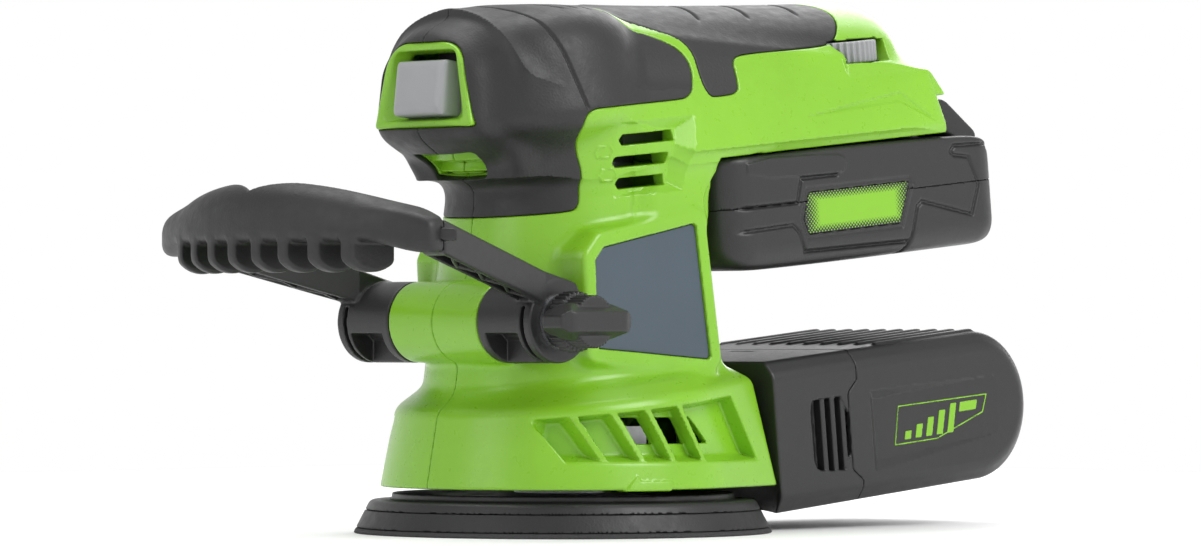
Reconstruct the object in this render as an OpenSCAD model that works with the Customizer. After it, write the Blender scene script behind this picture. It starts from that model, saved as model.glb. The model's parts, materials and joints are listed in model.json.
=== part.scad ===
// Cordless random orbital sander with a loop front handle, a slide-in battery and a dust box.
// Units are millimetres. +Z is up, the pad rests on z = 0 and the motor axis is the Z axis.
// The loop handle points along -X, the battery and dust box along +X. Left is -Y.

/* [Pad] */
// Diameter of the sanding pad at its working face
pad_d = 125; // [123:0.5:127]
// Height of the pad from its working face to its top rim
pad_h = 10; // [9:0.5:11]
// Offset of the pad axis from the motor axis, half of the orbit
orbit_offset = 1.2; // [0.8:0.1:1.5]
// Direction of that offset at rest, in degrees
orbit_angle = 45; // [0:15:90]

/* [Body] */
// Rear-up tilt of the body over the pad, in degrees
body_tilt = 5.8; // [5.4:0.1:6.2]
// Wall thickness of the housing shells
wall = 2.4; // [2:0.1:2.8]
// Thickness of the rubber moulded over the head and the top
overmould = 1.6; // [1.2:0.1:1.8]
// Height of the bottom edge of the skirt
skirt_z = 13.8; // [13.6:0.1:14.4]
// Radius of the skirt at its bottom edge
skirt_r = 54.4; // [53.8:0.1:55]
// Radius of the round head
head_r = 40.4; // [39.8:0.1:41]

/* [Motor] */
// Radius of the motor can
can_r = 21; // [20:0.5:21.5]
// Length of the motor can
can_len = 60; // [56:1:62]
// Radius of the fan
fan_r = 35; // [32:0.5:36]
// Number of fan blades
fan_blades = 11; // [7:1:13]

/* [Front handle] */
// Radius of the hinge tube in the housing
hinge_r = 11.87; // [11.5:0.05:12]
// Half the length of that tube
hinge_half = 19.2; // [18.8:0.1:19.6]
// Half the width over the two hinge knuckles
knuckle_half = 42.3; // [41.8:0.1:42.8]
// Half the width of the loop at its front corners
loop_half = 60; // [58:0.5:61]
// Radius of the clamp bolt
bolt_r = 4; // [3.5:0.1:4]
// Number of finger ribs below the grip
grip_ribs = 8; // [6:1:9]

/* [Battery] */
// Half the width of the battery case
battery_half = 38.5; // [38:0.1:38.8]
// Gap between the battery and the housing
battery_gap = 0.4; // [0.35:0.05:0.6]
// Number of cells in the pack
cell_count = 6; // [5:1:6]

/* [Dust box] */
// Half the width of the dust box over its side faces
dust_half = 38.5; // [38:0.1:39]
// Number of ribs on the top of the dust box
dust_ribs = 10; // [6:1:10]
// Wall thickness of the dust box
dust_wall = 2; // [1.8:0.1:2.4]

/* [Hidden] */
$fn = 64;
eps = 0.02;
run_gap = 0.03;   // radial clearance of a running fit
move_gap = 0.4;   // gap between plain faces that move past each other
far = 200;

// Pad and spindle
pad_r = pad_d / 2;
pad_top_r = pad_r - 5.1;
hook_t = 1.5;
foam_top = 6.8;
plate_step_r = 51;
plate_step_z = pad_h + 2;
dust_hole_r = 4.5;
dust_hole_ring = 32.5;
dust_hole_count = 8;
pad_screw_ring = 11;
pad_screw_count = 3;
orbit = [orbit_offset * cos(orbit_angle), orbit_offset * sin(orbit_angle), 0];

// Eccentric drive, from the bottom up
bearing_r = 15;
bearing_bore = 5;
bearing_z = 18;
bearing_h = 14;
hub_z = 16;
hub_top = 45;
hub_boss_r = 9;
fan_z = 37;
fan_h = 7.5;
shaft_r = 2.5;

// Motor
can_z = 50;
can_top = can_z + can_len;
boss_r = 8.5;
shroud_z = 46.4;

// Skirt and column, in the upright frame: [height, radius or reach]
column_x = -3.5;
column_low = [48.6, 38.9];
column_high = [104, 31.4];
column_half = 33;
panel_half = 36.5;
skirt_top_r = 48.2;
skirt_top_z = 52;
port_x = 53;
port_half = 38.5;
port_tangent = [18.7, 51.1];

// Body, in the tilted frame: p runs rearward, q runs up
band_q = 40.8;
shelf_q = 46.1;
shelf_p = 4.4;
band_r = 50.3;
shelf_r = 43.8;
head_p = -5.7;
wing_q = 107.9;
bay_half = 22.5;
bay_q = 117.6;
tail_q = 118.7;
duct_q = 22;
duct_r = 13;
duct_p = 60;

// Hinge axis
hinge_x = -40.5;
hinge_z = 62.6;
knuckle_r = 12;
knuckle_gap = 0.3;

// Battery and dust box, in the tilted frame
bat_front = 40;
bat_rear = 164;
bat_low = 71.8;
bat_split = 92;
bat_top = wing_q - battery_gap;
rail_top = bay_q - battery_gap;
cell_r = 9.15;
cell_len = 65;
cell_p = 55.5;
cell_q = 84.8;
cell_pitch = 18.4;
box_front = 54.6;
box_split = 90;
box_low = -0.5;
box_high = 45.5;
box_mid = (box_low + box_high) / 2;
box_end = 145;
box_r = (box_high - box_low) / 2;
face_r = box_r - 4.5;
face_in = 3.5;

// Speed dial
dial_p = 109;
dial_y = -21.5;
dial_q = 131.8;
dial_r = 14;
dial_h = 6.6;

green = "yellowgreen";
black = [0.12, 0.12, 0.13];
dark = [0.2, 0.2, 0.21];
steel = "silver";

// Helpers ---------------------------------------------------------------

// Places children drawn in p, y, q in the body's tilted frame
module tilted() rotate([0, -body_tilt, 0]) children();

// Prism whose outline is drawn in x and z
module side_prism(points, y_low, y_high)
    translate([0, y_high, 0]) rotate([90, 0, 0]) linear_extrude(y_high - y_low) polygon(points);

// Prism whose outline is drawn in y and z
module front_prism(points, x_low, x_high)
    translate([x_low, 0, 0]) rotate([90, 0, 90]) linear_extrude(x_high - x_low) polygon(points);

// Cylinder along Y
module y_rod(x, z, r, y_low, y_high)
    translate([x, y_high, z]) rotate([90, 0, 0]) cylinder(r = r, h = y_high - y_low);

// Box from two opposite corners
module block(low, high) translate(low) cube(high - low);

// Ring around Z
module ring(r_out, r_in, z_low, z_high)
    translate([0, 0, z_low]) difference() {
        cylinder(r = r_out, h = z_high - z_low);
        translate([0, 0, -1]) cylinder(r = r_in, h = z_high - z_low + 2);
    }

// Points of an arc
function arc(cx, cy, r, from, to, steps) =
    [for (i = [0 : steps]) let (a = from + (to - from) * i / steps) [cx + r * cos(a), cy + r * sin(a)]];

// Left and right halves of a set of [y, z] points
function both_sides(half) =
    concat(half, [for (i = [len(half) - 1 : -1 : 0]) [-half[i][0], half[i][1]]]);

module around(count, r) for (i = [0 : count - 1]) rotate([0, 0, i * 360 / count]) translate([r, 0, 0]) children();

// Outer form of the housing, moved inward by d --------------------------

module skirt_form(d) {
    cone_end = skirt_top_r - d;
    intersection() {
        union() {
            translate([0, 0, skirt_z]) cylinder(r1 = skirt_r - d, r2 = cone_end, h = skirt_top_z - skirt_z);
            translate([0, 0, skirt_z]) linear_extrude(skirt_top_z - skirt_z) polygon([
                [0, -port_tangent[1] + d + 1.5], [port_tangent[0], -port_tangent[1] + d + 1.5],
                [port_x - d, -port_half + d], [port_x - d, port_half - d],
                [port_tangent[0], port_tangent[1] - d - 1.5], [0, port_tangent[1] - d - 1.5]]);
        }
        tilted() union() {
            block([-80, -80, -20], [51.4 - d, 80, band_q - d]);
            translate([shelf_p, 0, band_q - d - eps])
                cylinder(r1 = band_r - d, r2 = shelf_r - d, h = shelf_q - band_q + eps);
            side_prism([[0, band_q - d - eps], [51.4 - d, band_q - d - eps],
                [47 - d, shelf_q - d], [0, shelf_q - d]], -port_half + 4 + d, port_half - 4 - d);
        }
        side_prism([[-80, 0], [54.2 - d, 0], [46.4 - d, 60], [-80, 60]], -80, 80);
    }
}

module column_form(d) {
    translate([column_x, 0, 38]) {
        slope = (column_low[1] - column_high[1]) / (column_high[0] - column_low[0]);
        r_foot = column_low[1] + slope * (column_low[0] - 38);
        cylinder(r1 = r_foot - d, r2 = column_high[1] - d, h = column_high[0] - 38);
    }
    side_prism([[column_x, 38], [38.5 - d, 38], [37 - d, 49], [32 - d, 77], [26 - d, 99], [24 - d, 125],
        [column_x, 125]], -column_half + d, column_half - d);
    side_prism([[-26 + d, 50 + d], [32.5 - d, 44 + d], [30.5 - d, 94 - d], [-6, 88 - d], [-26 + d, 88 - d]],
        -panel_half + d, panel_half - d);
}

module head_form(d)
    tilted() translate([head_p, 0, 0]) rotate_extrude() polygon([
        [0, 100 + d], [22 - d / 2, 106 + d], [32.8 - d / 2, 116.3 + d], [38.5 - d, 121 + d / 2], [head_r - d, 124],
        [38.6 - d, 136], [35.6 - d, 149], [28.4 - d / 2, 153.3 - d], [21.5 - d / 2, 156.3 - d],
        [12, 158.1 - d], [0, 158.4 - d]]);

// Cross-section of the rear body in [y, q]
function wing_section(d) = both_sides([
    [39 - d, wing_q + d], [39 - d, 111.4], [38 - d, 118], [36 - d, 126], [32.5 - d, 134.5],
    [28 - d, 141.5 - d / 2], [21 - d / 2, 148 - d], [12, 153 - d], [0, 157.6 - d]]);

// The wing over the battery, its dome, and the short tail behind the flanks
module wing_form(d) tilted() {
    intersection() {
        front_prism(wing_section(d), -4, 150);
        side_prism([[-4, wing_q + d], [139 - 1.2 * d, wing_q + d], [127.5 - d, 127.5], [131, 131 + d / 2],
            [146.5 - d, 131 + d / 2], [146 - d, 136], [142.5 - d, 141 - d / 2], [136 - d / 2, 145.4 - d],
            [127 - d / 2, 148.8 - d], [116.4, 150.6 - d], [64.5, 153.2 - d], [39.3, 154.4 - d],
            [14.7, 156.9 - d], [-4, 158 - d]], -60, 60);
        linear_extrude(200) polygon([[-4, -60], [128 - d, -60], [147 - d, -16], [147 - d, 16], [128 - d, 60],
            [-4, 60]]);
    }
    intersection() {
        front_prism(wing_section(d), -4, 142);
        side_prism([[-4, wing_q + d], [139 - 1.2 * d, wing_q + d], [127.5 - d, 127.5 - d], [-4, 127.5 - d]], -60, 60);
    }
    side_prism([[100, tail_q + d], [144.2 - 1.2 * d, tail_q + d], [137.4 - d, 127.4 - d / 2], [132 - d, 130 - d],
        [100, 136 - d]], -33.5 + d, 33.5 - d);
}

module housing_form(d) {
    skirt_form(d);
    column_form(d);
    head_form(d);
    wing_form(d);
}

// Side outlines of the two rubber regions, in [p, q]
head_region = [[-70, 96.4], [-14.7, 96], [-10.5, 99.5], [-9.3, 107], [-13.5, 120], [-13, 124.5],
    [-9.6, 126.4], [25.5, 126.3], [27.5, 130], [27.5, 165], [-70, 165]];
grip_region = [[37, 131], [38, 128.2], [41.2, 126.1], [50, 126.1], [53.5, 128], [52, 133], [52.5, 135.8],
    [55.4, 137.7], [89.7, 137.5], [92.2, 138.7], [97, 147], [104, 165], [34, 165]];

module region(points) tilted() side_prism(points, -70, 70);

// Trapezoid opening for the trigger bezel, in [y, q]
bezel_low = 124.4;
bezel_high = 149.4;
module bezel_opening(grow) tilted() front_prism(both_sides([[20.3 + grow, bezel_low - grow],
    [14.5 + grow, bezel_high + grow]]), -60, -24);

// Screw places: [x, z] upright for the skirt and column, [p, q] tilted for the rest
upright_screws = [[-45.2, 27.5], [27.6, 62], [-28.5, 84]];
tilted_screws = [[2, 151.8], [38, 128], [66, 145.5], [127, 132]];
boss_radius = 5.2;
screw_r = 1.75;
screw_head_r = 3.4;
screw_head_y = 14;

module at_screws() {
    for (s = upright_screws) translate([s[0], 0, s[1]]) children();
    tilted() for (s = tilted_screws) translate([s[0], 0, s[1]]) children();
}

module screw_bosses() intersection() {
    at_screws() y_rod(0, 0, boss_radius, -60, 60);
    housing_form(0.8);
}

module screw_holes() at_screws() {
    y_rod(0, 0, screw_r, -12, screw_head_y);
    y_rod(0, 0, screw_head_r + 0.3, screw_head_y - 3, 70);
}

// Plates inside the housing that hold the motor
module motor_ribs() intersection() {
    for (z = [58, 98]) ring(60, can_r, z, z + 3);
    column_form(wall - 0.4);
}

// Side wall slots and the slanted vents of the skirt
module side_vents() tilted() for (row = [0 : 2]) {
    q = 116.1 - 6.55 * row;
    for (side = [-1, 1]) side_prism([[3 - row, q], [5.2 - row, q + 1.6], [23.6 - 2.2 * row, q + 1.6],
        [22.8 - 2.2 * row, q - 1.6], [5 - row, q - 1.6]], min(side * 26, side * 60), max(side * 26, side * 60));
}

module skirt_vents() for (i = [0 : 2], side = [-1, 1]) {
    x = -6 + 13.5 * i;
    side_prism([[x, 24], [x + 8.5, 24], [x + 1.5, 36], [x - 5.5, 35.4]],
        min(side * 38, side * 70), max(side * 38, side * 70));
}

// Everything that both halves share
module housing_body() difference() {
    union() {
        difference() {
            housing_form(0);
            housing_form(wall + overmould);
            // open bottom of the skirt
            translate([0, 0, 5]) cylinder(r = skirt_r - wall - 1, h = 16);
            block([0, -37, 5], [48, 37, 20]);
        }
        screw_bosses();
        motor_ribs();
        y_rod(hinge_x, hinge_z, hinge_r, -hinge_half, hinge_half);
        tilted() {
            // outlet nozzle for the dust
            translate([38, 0, duct_q]) rotate([0, 90, 0]) cylinder(r = duct_r, h = duct_p - 38);
            // roof and sides of the battery channel
            intersection() {
                block([36, -bay_half - wall, wing_q], [162, bay_half + wall, bay_q + wall]);
                rotate([0, body_tilt, 0]) wing_form(0.4);
            }
        }
    }
    // cavity of the motor and fan, kept clear of all of the above
    difference() {
        translate([0, 0, 5]) cylinder(r = fan_r + 3, h = 39);
        side_prism([[-80, 44], [80, 44], [80, 60], [-80, 60]], -80, 80);
    }
    translate([0, 0, 44 - eps]) cylinder(r = can_r, h = can_top - 44 + 9);
    tilted() {
        translate([30, 0, duct_q]) rotate([0, 90, 0]) cylinder(r = duct_r - 2, h = duct_p);
        block([bat_front - move_gap, -bay_half, wing_q - 5], [170, bay_half, bay_q]);
        block([141.2, -60, wing_q - 5], [170, 60, tail_q]);
        block([bat_front - move_gap, -60, 60], [170, 60, wing_q]);
        // window for the speed dial
        translate([dial_p, dial_y, dial_q - move_gap]) cylinder(r = dial_r + 1, h = dial_h + 2 * move_gap);
    }
    // bolt hole and the pockets that the knuckles turn in
    y_rod(hinge_x, hinge_z, bolt_r + 0.3, -60, 60);
    for (side = [-1, 1]) y_rod(hinge_x, hinge_z, knuckle_r + 0.5,
        min(side * hinge_half, side * 60), max(side * hinge_half, side * 60));
    intersection() {
        difference() {
            housing_form(-1);
            housing_form(overmould);
        }
        union() {
            region(head_region);
            region(grip_region);
        }
    }
    label_recess();
    bezel_opening(0);
    side_vents();
    skirt_vents();
    screw_holes();
    shroud_solid(0);
}

module housing_left() color(green) intersection() {
    housing_body();
    block([-far, -far, 0], [far, 0, far]);
}

module housing_right() color(green) intersection() {
    housing_body();
    block([-far, 0, 0], [far, far, far]);
}

// Rubber moulded over each half
module rubber(points, y_low, y_high) color(black) difference() {
    intersection() {
        housing_form(0);
        region(points);
        block([-far, y_low, 0], [far, y_high, far]);
    }
    housing_form(overmould);
    bezel_opening(0);
    side_vents();
    screw_holes();
    tilted() translate([dial_p, dial_y, dial_q - move_gap]) cylinder(r = dial_r + 1, h = dial_h + 2 * move_gap);
}

module head_overmould_left() rubber(head_region, -far, 0);
module head_overmould_right() rubber(head_region, 0, far);
module rear_grip_left() rubber(grip_region, -far, 0);
module rear_grip_right() rubber(grip_region, 0, far);

// Trigger ---------------------------------------------------------------

button_half = 11.8;
button_low = 127.6;
button_high = 146.2;
bezel_t = 2.6;
button_gap = 0.9;   // more than move_gap, because the button moves at a slant to its opening

module trigger_bezel() color(green) difference() {
    intersection() {
        head_form(0);
        bezel_opening(-0.05);
    }
    head_form(bezel_t);
    tilted() front_prism(both_sides([[button_half + move_gap, button_low - button_gap],
        [button_half + move_gap, button_high + button_gap]]), -60, -20);
}

// The button and its stem slide together into the switch
module trigger_button() color("lightgray") tilted() {
    lean = 12.4;
    translate([-43.6, 0, (button_low + button_high) / 2]) rotate([0, lean, 0]) difference() {
        h = (button_high - button_low) / 2 - 0.2;
        union() {
            block([0, -button_half, -h], [2, button_half, h]);
            front_prism(both_sides([[button_half - 1.6, -h + 1.6], [button_half - 1.6, h - 1.6]]), -1.2, 0.1);
            block([2 - eps, -button_half + 1.5, -h + 1.5], [9, button_half - 1.5, h - 1.5]);
        }
        block([3.5, -button_half + 3, -h + 3], [10, button_half - 3, h - 3]);
    }
    translate([-42.4, 0, 137]) rotate([0, 90 + lean, 0]) cylinder(r = 3, h = 11);
}

module trigger_spring() color(steel) tilted() translate([-38.2, 0, 136.75]) rotate([0, 102.4, 0])
    for (i = [0 : 4]) translate([0, 0, 1.5 + i * 1.7]) rotate_extrude() translate([4.2, 0]) circle(r = 0.4, $fn = 16);

module power_switch() color(dark) tilted() difference() {
    union() {
        block([-27, -9, 125], [-6, 9, 146]);
        for (y = [-5, 5]) block([-6 - eps, y - 2.4, 130], [1, y + 2.4, 130.8]);
        for (side = [-1, 1]) block([-22, side * 9 - 1.2, 133], [-12, side * 9 + 1.2, 138]);
    }
    translate([-40, 0, 137]) rotate([0, 102.4, 0]) cylinder(r = 3.4, h = 19);
}

// Speed control ---------------------------------------------------------

module speed_dial() color("gray") tilted() translate([dial_p, dial_y, dial_q]) difference() {
    union() {
        cylinder(r = dial_r - 0.7, h = dial_h);
        for (i = [0 : 35]) rotate([0, 0, i * 10])
            translate([dial_r - 1.2, -0.6, 0.5]) cube([1.2, 1.2, dial_h - 1]);
        translate([0, 0, -2.5]) cylinder(r = 4, h = 3);
    }
    translate([0, 0, -3]) cylinder(r = 3 + run_gap, h = dial_h + 1);
    translate([0, 0, dial_h - 1.2]) cylinder(r = 9, h = 2);
}

module speed_potentiometer() color("royalblue") tilted() translate([dial_p, dial_y, 0]) {
    block([-6, -6, 124], [6, 6, 128.6]);
    translate([0, 0, 128.6 - eps]) cylinder(r = 3, h = dial_q + 4 - 128.6);
}

// Side panels -----------------------------------------------------------

label_t = 1.2;
label_outline = [[-20, 54.8], [24.8, 51.6], [25.8, 52.6], [19.6, 91], [18.2, 91.8], [-18, 84.4], [-21.4, 80.6]];

module label_recess() for (side = [-1, 1])
    side_prism(label_outline, min(side * (panel_half - label_t), side * 60), max(side * (panel_half - label_t), side * 60));

module label_panel(side) color("slategray") intersection() {
    side_prism(label_outline, -60, 60);
    block([-far, min(side * (panel_half - label_t), side * (panel_half + 0.1)), 0],
        [far, max(side * (panel_half - label_t), side * (panel_half + 0.1)), far]);
}

module label_panel_left() label_panel(-1);
module label_panel_right() label_panel(1);

module housing_screws() color(steel) at_screws() difference() {
    union() {
        y_rod(0, 0, screw_r, -11, screw_head_y - 3 + eps);
        y_rod(0, 0, screw_head_r, screw_head_y - 3, screw_head_y);
    }
    y_rod(0, 0, 1.2, screw_head_y - 1.6, screw_head_y + 1);
}

// Electronics -----------------------------------------------------------

module control_board() color("darkgreen") tilted() {
    block([44, -19, 122.2], [124, 19, 123.8]);
    for (x = [52, 66]) translate([x, 6, 123.8 - eps]) cylinder(r = 5, h = 12);
    block([78, -14, 123.8 - eps], [92, -4, 131]);
    block([76, 4, 123.8 - eps], [96, 6, 136]);
    for (i = [0 : 3]) block([52 + 6 * i, -14, 123.8 - eps], [55 + 6 * i, -8, 125.6]);
}

module terminal_block() color(dark) tilted() {
    block([bat_front - move_gap, -15, 110], [bat_front + 7, 15, bay_q]);
    for (y = [-10.5, -3.5, 3.5, 10.5]) block([bat_front + 7 - eps, y - 0.4, 111.5], [bat_front + 19, y + 0.4, 115.5]);
}

// Motor -----------------------------------------------------------------

module shroud_solid(d) intersection() {
    translate([0, 0, shroud_z + d]) cylinder(r = 46, h = can_z - shroud_z - 2 * d);
    union() {
        column_form(wall + 1);
        translate([0, 0, 40]) cylinder(r = 38, h = 14);
    }
}

module fan_shroud() color(dark) difference() {
    shroud_solid(0);
    translate([0, 0, 40]) cylinder(r = boss_r, h = 20);
    around(6, 26) translate([0, 0, 40]) cylinder(r = 3.2, h = 20);
}

module motor_can() color(steel) difference() {
    union() {
        translate([0, 0, can_z]) cylinder(r = can_r, h = can_len);
        translate([0, 0, can_z - 3]) cylinder(r = boss_r, h = 3 + eps);
    }
    translate([0, 0, can_z + 1.2]) cylinder(r = can_r - 1, h = can_len);
    translate([0, 0, can_z - 2.5]) cylinder(r = 6.5, h = 10);
    translate([0, 0, can_z - 5]) cylinder(r = shaft_r + 1, h = 10);
    for (a = [0, 180]) rotate([0, 0, a]) translate([16, 0, can_z - 1]) cylinder(r = 2, h = 4);
}

module motor_magnets() color("dimgray") for (side = [-1, 1]) intersection() {
    ring(can_r - 1, 15.2, can_z + 8, can_z + 45);
    rotate([0, 0, side * 90]) side_prism([[0, 40], [60, 40], [60, 120], [0, 120]], -14, 14);
}

module motor_end_cap() color(dark) difference() {
    union() {
        translate([0, 0, can_top - 4]) cylinder(r = can_r - 1, h = 4 + eps);
        translate([0, 0, can_top]) cylinder(r = can_r, h = 2.5);
        translate([0, 0, can_top]) cylinder(r = 9, h = 7);
        for (side = [-1, 1]) block([-4, side * 11 - 5, can_top - 12], [4, side * 11 + 5, can_top + 1]);
    }
    translate([0, 0, can_top - 20]) cylinder(r = 6, h = 18);
    translate([0, 0, can_top + 1]) cylinder(r = 5.5, h = 4.5);
    translate([0, 0, can_top - 10]) cylinder(r = shaft_r + 0.6, h = 14);
    block([-2, -20, can_top - 9], [2, 20, can_top - 5]);
}

module carbon_brushes() color([0.1, 0.1, 0.1]) for (side = [-1, 1])
    block([-2, min(side * 5.4, side * 15), can_top - 9], [2, max(side * 5.4, side * 15), can_top - 5]);

module motor_shaft() color(steel) translate([0, 0, 33.5]) cylinder(r = shaft_r, h = can_top + 5 - 33.5);

module armature_core() color("gray") difference() {
    union() {
        translate([0, 0, can_z + 11]) cylinder(r = 5.5, h = 30);
        for (i = [0 : 4]) rotate([0, 0, i * 72]) {
            block([4, -1.6, can_z + 11], [12.5, 1.6, can_z + 41]);
            intersection() {
                ring(14.4, 12, can_z + 11, can_z + 41);
                side_prism([[0, 40], [30, 40], [30, 120], [0, 120]], -7, 7);
            }
        }
    }
    translate([0, 0, 40]) cylinder(r = shaft_r, h = 90);
}

module armature_windings() color("chocolate") difference() {
    union() {
        ring(11.5, 5.5, can_z + 7, can_z + 11);
        ring(11.5, 5.5, can_z + 41, can_z + 45);
    }
    translate([0, 0, 40]) cylinder(r = shaft_r, h = 90);
}

module commutator() color("peru") difference() {
    ring(5, shaft_r, can_top - 12, can_top - 3);
    for (i = [0 : 4]) rotate([0, 0, i * 72 + 36]) block([4.3, -0.25, can_top - 11.5], [6, 0.25, can_top - 2]);
}

module motor_bearing_lower() color(steel) ring(6.5, shaft_r + run_gap, can_z - 2.5, can_z + 2);
module motor_bearing_upper() color(steel) ring(5.5, shaft_r + run_gap, can_top + 1, can_top + 5.5);

// Two insulated leads from the brushes up to the switch
module motor_leads() color("firebrick") for (side = [-1, 1]) {
    translate([-3, side * 13, can_top + 2.5]) cylinder(r = 1.1, h = 14);
    translate([-3.5, side * 13, can_top + 15]) rotate([0, 90, 0]) cylinder(r = 1.3, h = 8);
}

// Fan, eccentric and spindle --------------------------------------------

module fan() color("dimgray") difference() {
    union() {
        translate([0, 0, fan_z]) cylinder(r = fan_r, h = 1.6);
        translate([0, 0, fan_z]) cylinder(r = hub_boss_r + 2, h = fan_h);
        for (i = [0 : fan_blades - 1]) rotate([0, 0, i * 360 / fan_blades])
            translate([hub_boss_r + 1, 0, fan_z + 1]) rotate([0, 0, 18]) cube([fan_r - hub_boss_r - 3.5, 1.5, fan_h - 1]);
    }
    translate([0, 0, 30]) cylinder(r = hub_boss_r, h = 30);
}

module eccentric_hub() color("darkgray") difference() {
    union() {
        translate(orbit + [0, 0, hub_z]) cylinder(r = bearing_r + 3.5, h = 18);
        translate([0, 0, hub_z + 15]) cylinder(r = hub_boss_r, h = hub_top - hub_z - 15);
        rotate([0, 0, orbit_angle + 180]) intersection() {
            translate([0, 0, hub_z + 4]) cylinder(r = fan_r - 1, h = 12);
            linear_extrude(60) polygon([[6, -9], [60, -62], [60, 62], [6, 9]]);
        }
    }
    translate(orbit + [0, 0, hub_z - 1]) cylinder(r = bearing_r, h = bearing_z + bearing_h - hub_z + 1);
    translate([0, 0, 30]) cylinder(r = shaft_r, h = 40);
}

module eccentric_bearing() color(steel) translate(orbit) {
    ring(bearing_r, bearing_r - 3, bearing_z, bearing_z + bearing_h);
    ring(bearing_bore + 2.6, bearing_bore + run_gap, bearing_z, bearing_z + bearing_h);
    around(8, (bearing_r - 3 + bearing_bore + 2.6) / 2)
        translate([0, 0, bearing_z + bearing_h / 2]) sphere(r = 2.15, $fn = 32);
}

module pad_spindle() color(steel) translate(orbit) difference() {
    union() {
        translate([0, 0, plate_step_z]) cylinder(r = 14.5, h = 3);
        translate([0, 0, plate_step_z + 2]) cylinder(r = 7, h = bearing_z - 0.3 - plate_step_z - 2);
        translate([0, 0, plate_step_z + 2]) cylinder(r = bearing_bore, h = 31.4 - plate_step_z - 2);
    }
    around(pad_screw_count, pad_screw_ring) translate([0, 0, plate_step_z - 1]) cylinder(r = 1.8, h = 5);
}

// Pad -------------------------------------------------------------------

module dust_holes() around(dust_hole_count, dust_hole_ring) translate([0, 0, -1]) cylinder(r = dust_hole_r, h = 30);

module pad_layer(z_low, z_high) {
    r_low = pad_r - (pad_r - pad_top_r) * z_low / pad_h;
    r_high = pad_r - (pad_r - pad_top_r) * z_high / pad_h;
    translate(orbit) difference() {
        translate([0, 0, z_low]) cylinder(r1 = r_low, r2 = r_high, h = z_high - z_low);
        dust_holes();
        around(pad_screw_count, pad_screw_ring) translate([0, 0, -1]) cylinder(r = 3.9, h = foam_top + 1);
    }
}

module pad_hook_face() color([0.25, 0.25, 0.25]) pad_layer(0, hook_t);
module pad_foam() color(black) pad_layer(hook_t, foam_top);

module pad_plate() color(dark) {
    difference() {
        union() {
            pad_layer(foam_top, pad_h);
            translate(orbit) difference() {
                translate([0, 0, pad_h - eps]) cylinder(r = plate_step_r, h = plate_step_z - pad_h + eps);
                dust_holes();
            }
        }
        translate(orbit) around(pad_screw_count, pad_screw_ring) {
            translate([0, 0, foam_top - 1]) cylinder(r = 3.6, h = 3.4);
            cylinder(r = 1.8, h = 20);
        }
    }
}

module pad_screws() color(steel) translate(orbit) around(pad_screw_count, pad_screw_ring) difference() {
    union() {
        translate([0, 0, foam_top]) cylinder(r = 3.5, h = 2.4);
        translate([0, 0, foam_top + 1]) cylinder(r = 1.8, h = plate_step_z + 2.6 - foam_top - 1);
    }
    translate([0, 0, foam_top - 1]) cylinder(r = 1.6, h = 2.4, $fn = 6);
}

module brake_ring() color([0.08, 0.08, 0.08]) difference() {
    ring(skirt_r - wall - 1, 45.5, skirt_z + 0.4, skirt_z + 3);
    block([43, -60, 0], [80, 60, 30]);
}

// Dust box --------------------------------------------------------------

function box_profile(r, front) = concat([[front, box_mid - r]], arc(box_end, box_mid, r, -90, 90, 20),
    [[front, box_mid + r]]);

// Outer form of the box, moved inward by d, from one p to the rear
module box_form(d, front) hull() {
    side_prism(box_profile(box_r - d, front), -dust_half + face_in + d, dust_half - face_in - d);
    side_prism(box_profile(face_r - d / 2, front), -dust_half + d, dust_half - d);
}

rib_pitch = 7.35;
rib_len = 41;

// Room for the pad below the front of the cap, grown by a wall
module pad_relief(grow) rotate([0, body_tilt, 0]) translate([0, 0, -20])
    cylinder(r = pad_r + 2.6 + grow, h = 34.4 + grow);

module dust_box_shell() color(black) tilted() {
    difference() {
        box_form(0, box_split);
        box_form(dust_wall, box_split - 1);
        // recessed panel on each side
        for (side = [-1, 1]) side_prism([[97, 10], [152, 12.6], [152, 32.2], [97, 30.4]],
            min(side * (dust_half - 0.8), side * 60), max(side * (dust_half - 0.8), side * 60));
    }
}

module dust_box_cap() color(dark) tilted() difference() {
    union() {
        difference() {
            box_form(0, box_front);
            difference() {
                box_form(dust_wall, box_front + dust_wall);
                pad_relief(dust_wall);
            }
            block([box_split, -80, -20], [200, 80, 80]);
        }
        // socket that fits over the outlet nozzle
        translate([box_front, 0, duct_q]) rotate([0, 90, 0]) cylinder(r = duct_r + 2.2, h = 9);
        // ribs along the top
        for (i = [0 : dust_ribs - 1])
            block([58, (i - (dust_ribs - 1) / 2) * rib_pitch - 1, box_high - 1],
                [58 + rib_len - 12, (i - (dust_ribs - 1) / 2) * rib_pitch + 1, box_high + 0.8]);
    }
    translate([0, 0, duct_q]) rotate([0, 90, 0]) cylinder(r = duct_r + 0.1, h = 120);
    pad_relief(0);
    // front face follows the lean of the housing
    side_prism([[0, -20], [55.4, -20], [51.4, 60], [0, 60]], -80, 80);
    // finger slots of the release grips
    for (side = [-1, 1], i = [0 : 3]) side_prism([[69.6 + 4.3 * i, 10.4], [71.6 + 4.3 * i, 10.4],
        [71.4 + 4.3 * i, 26 + 0.8 * i], [69.6 + 4.3 * i, 26 + 0.8 * i]],
        min(side * (dust_half - 1.2), side * 60), max(side * (dust_half - 1.2), side * 60));
}

module dust_filter() color("whitesmoke") tilted() difference() {
    union() {
        block([84, -31, 4], [87, 31, 41]);
        for (i = [0 : 8]) block([86, -29 + 6.6 * i, 6], [98, -26.5 + 6.6 * i, 39]);
    }
    block([80, -7, 15], [110, 7, 30]);
}

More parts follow.
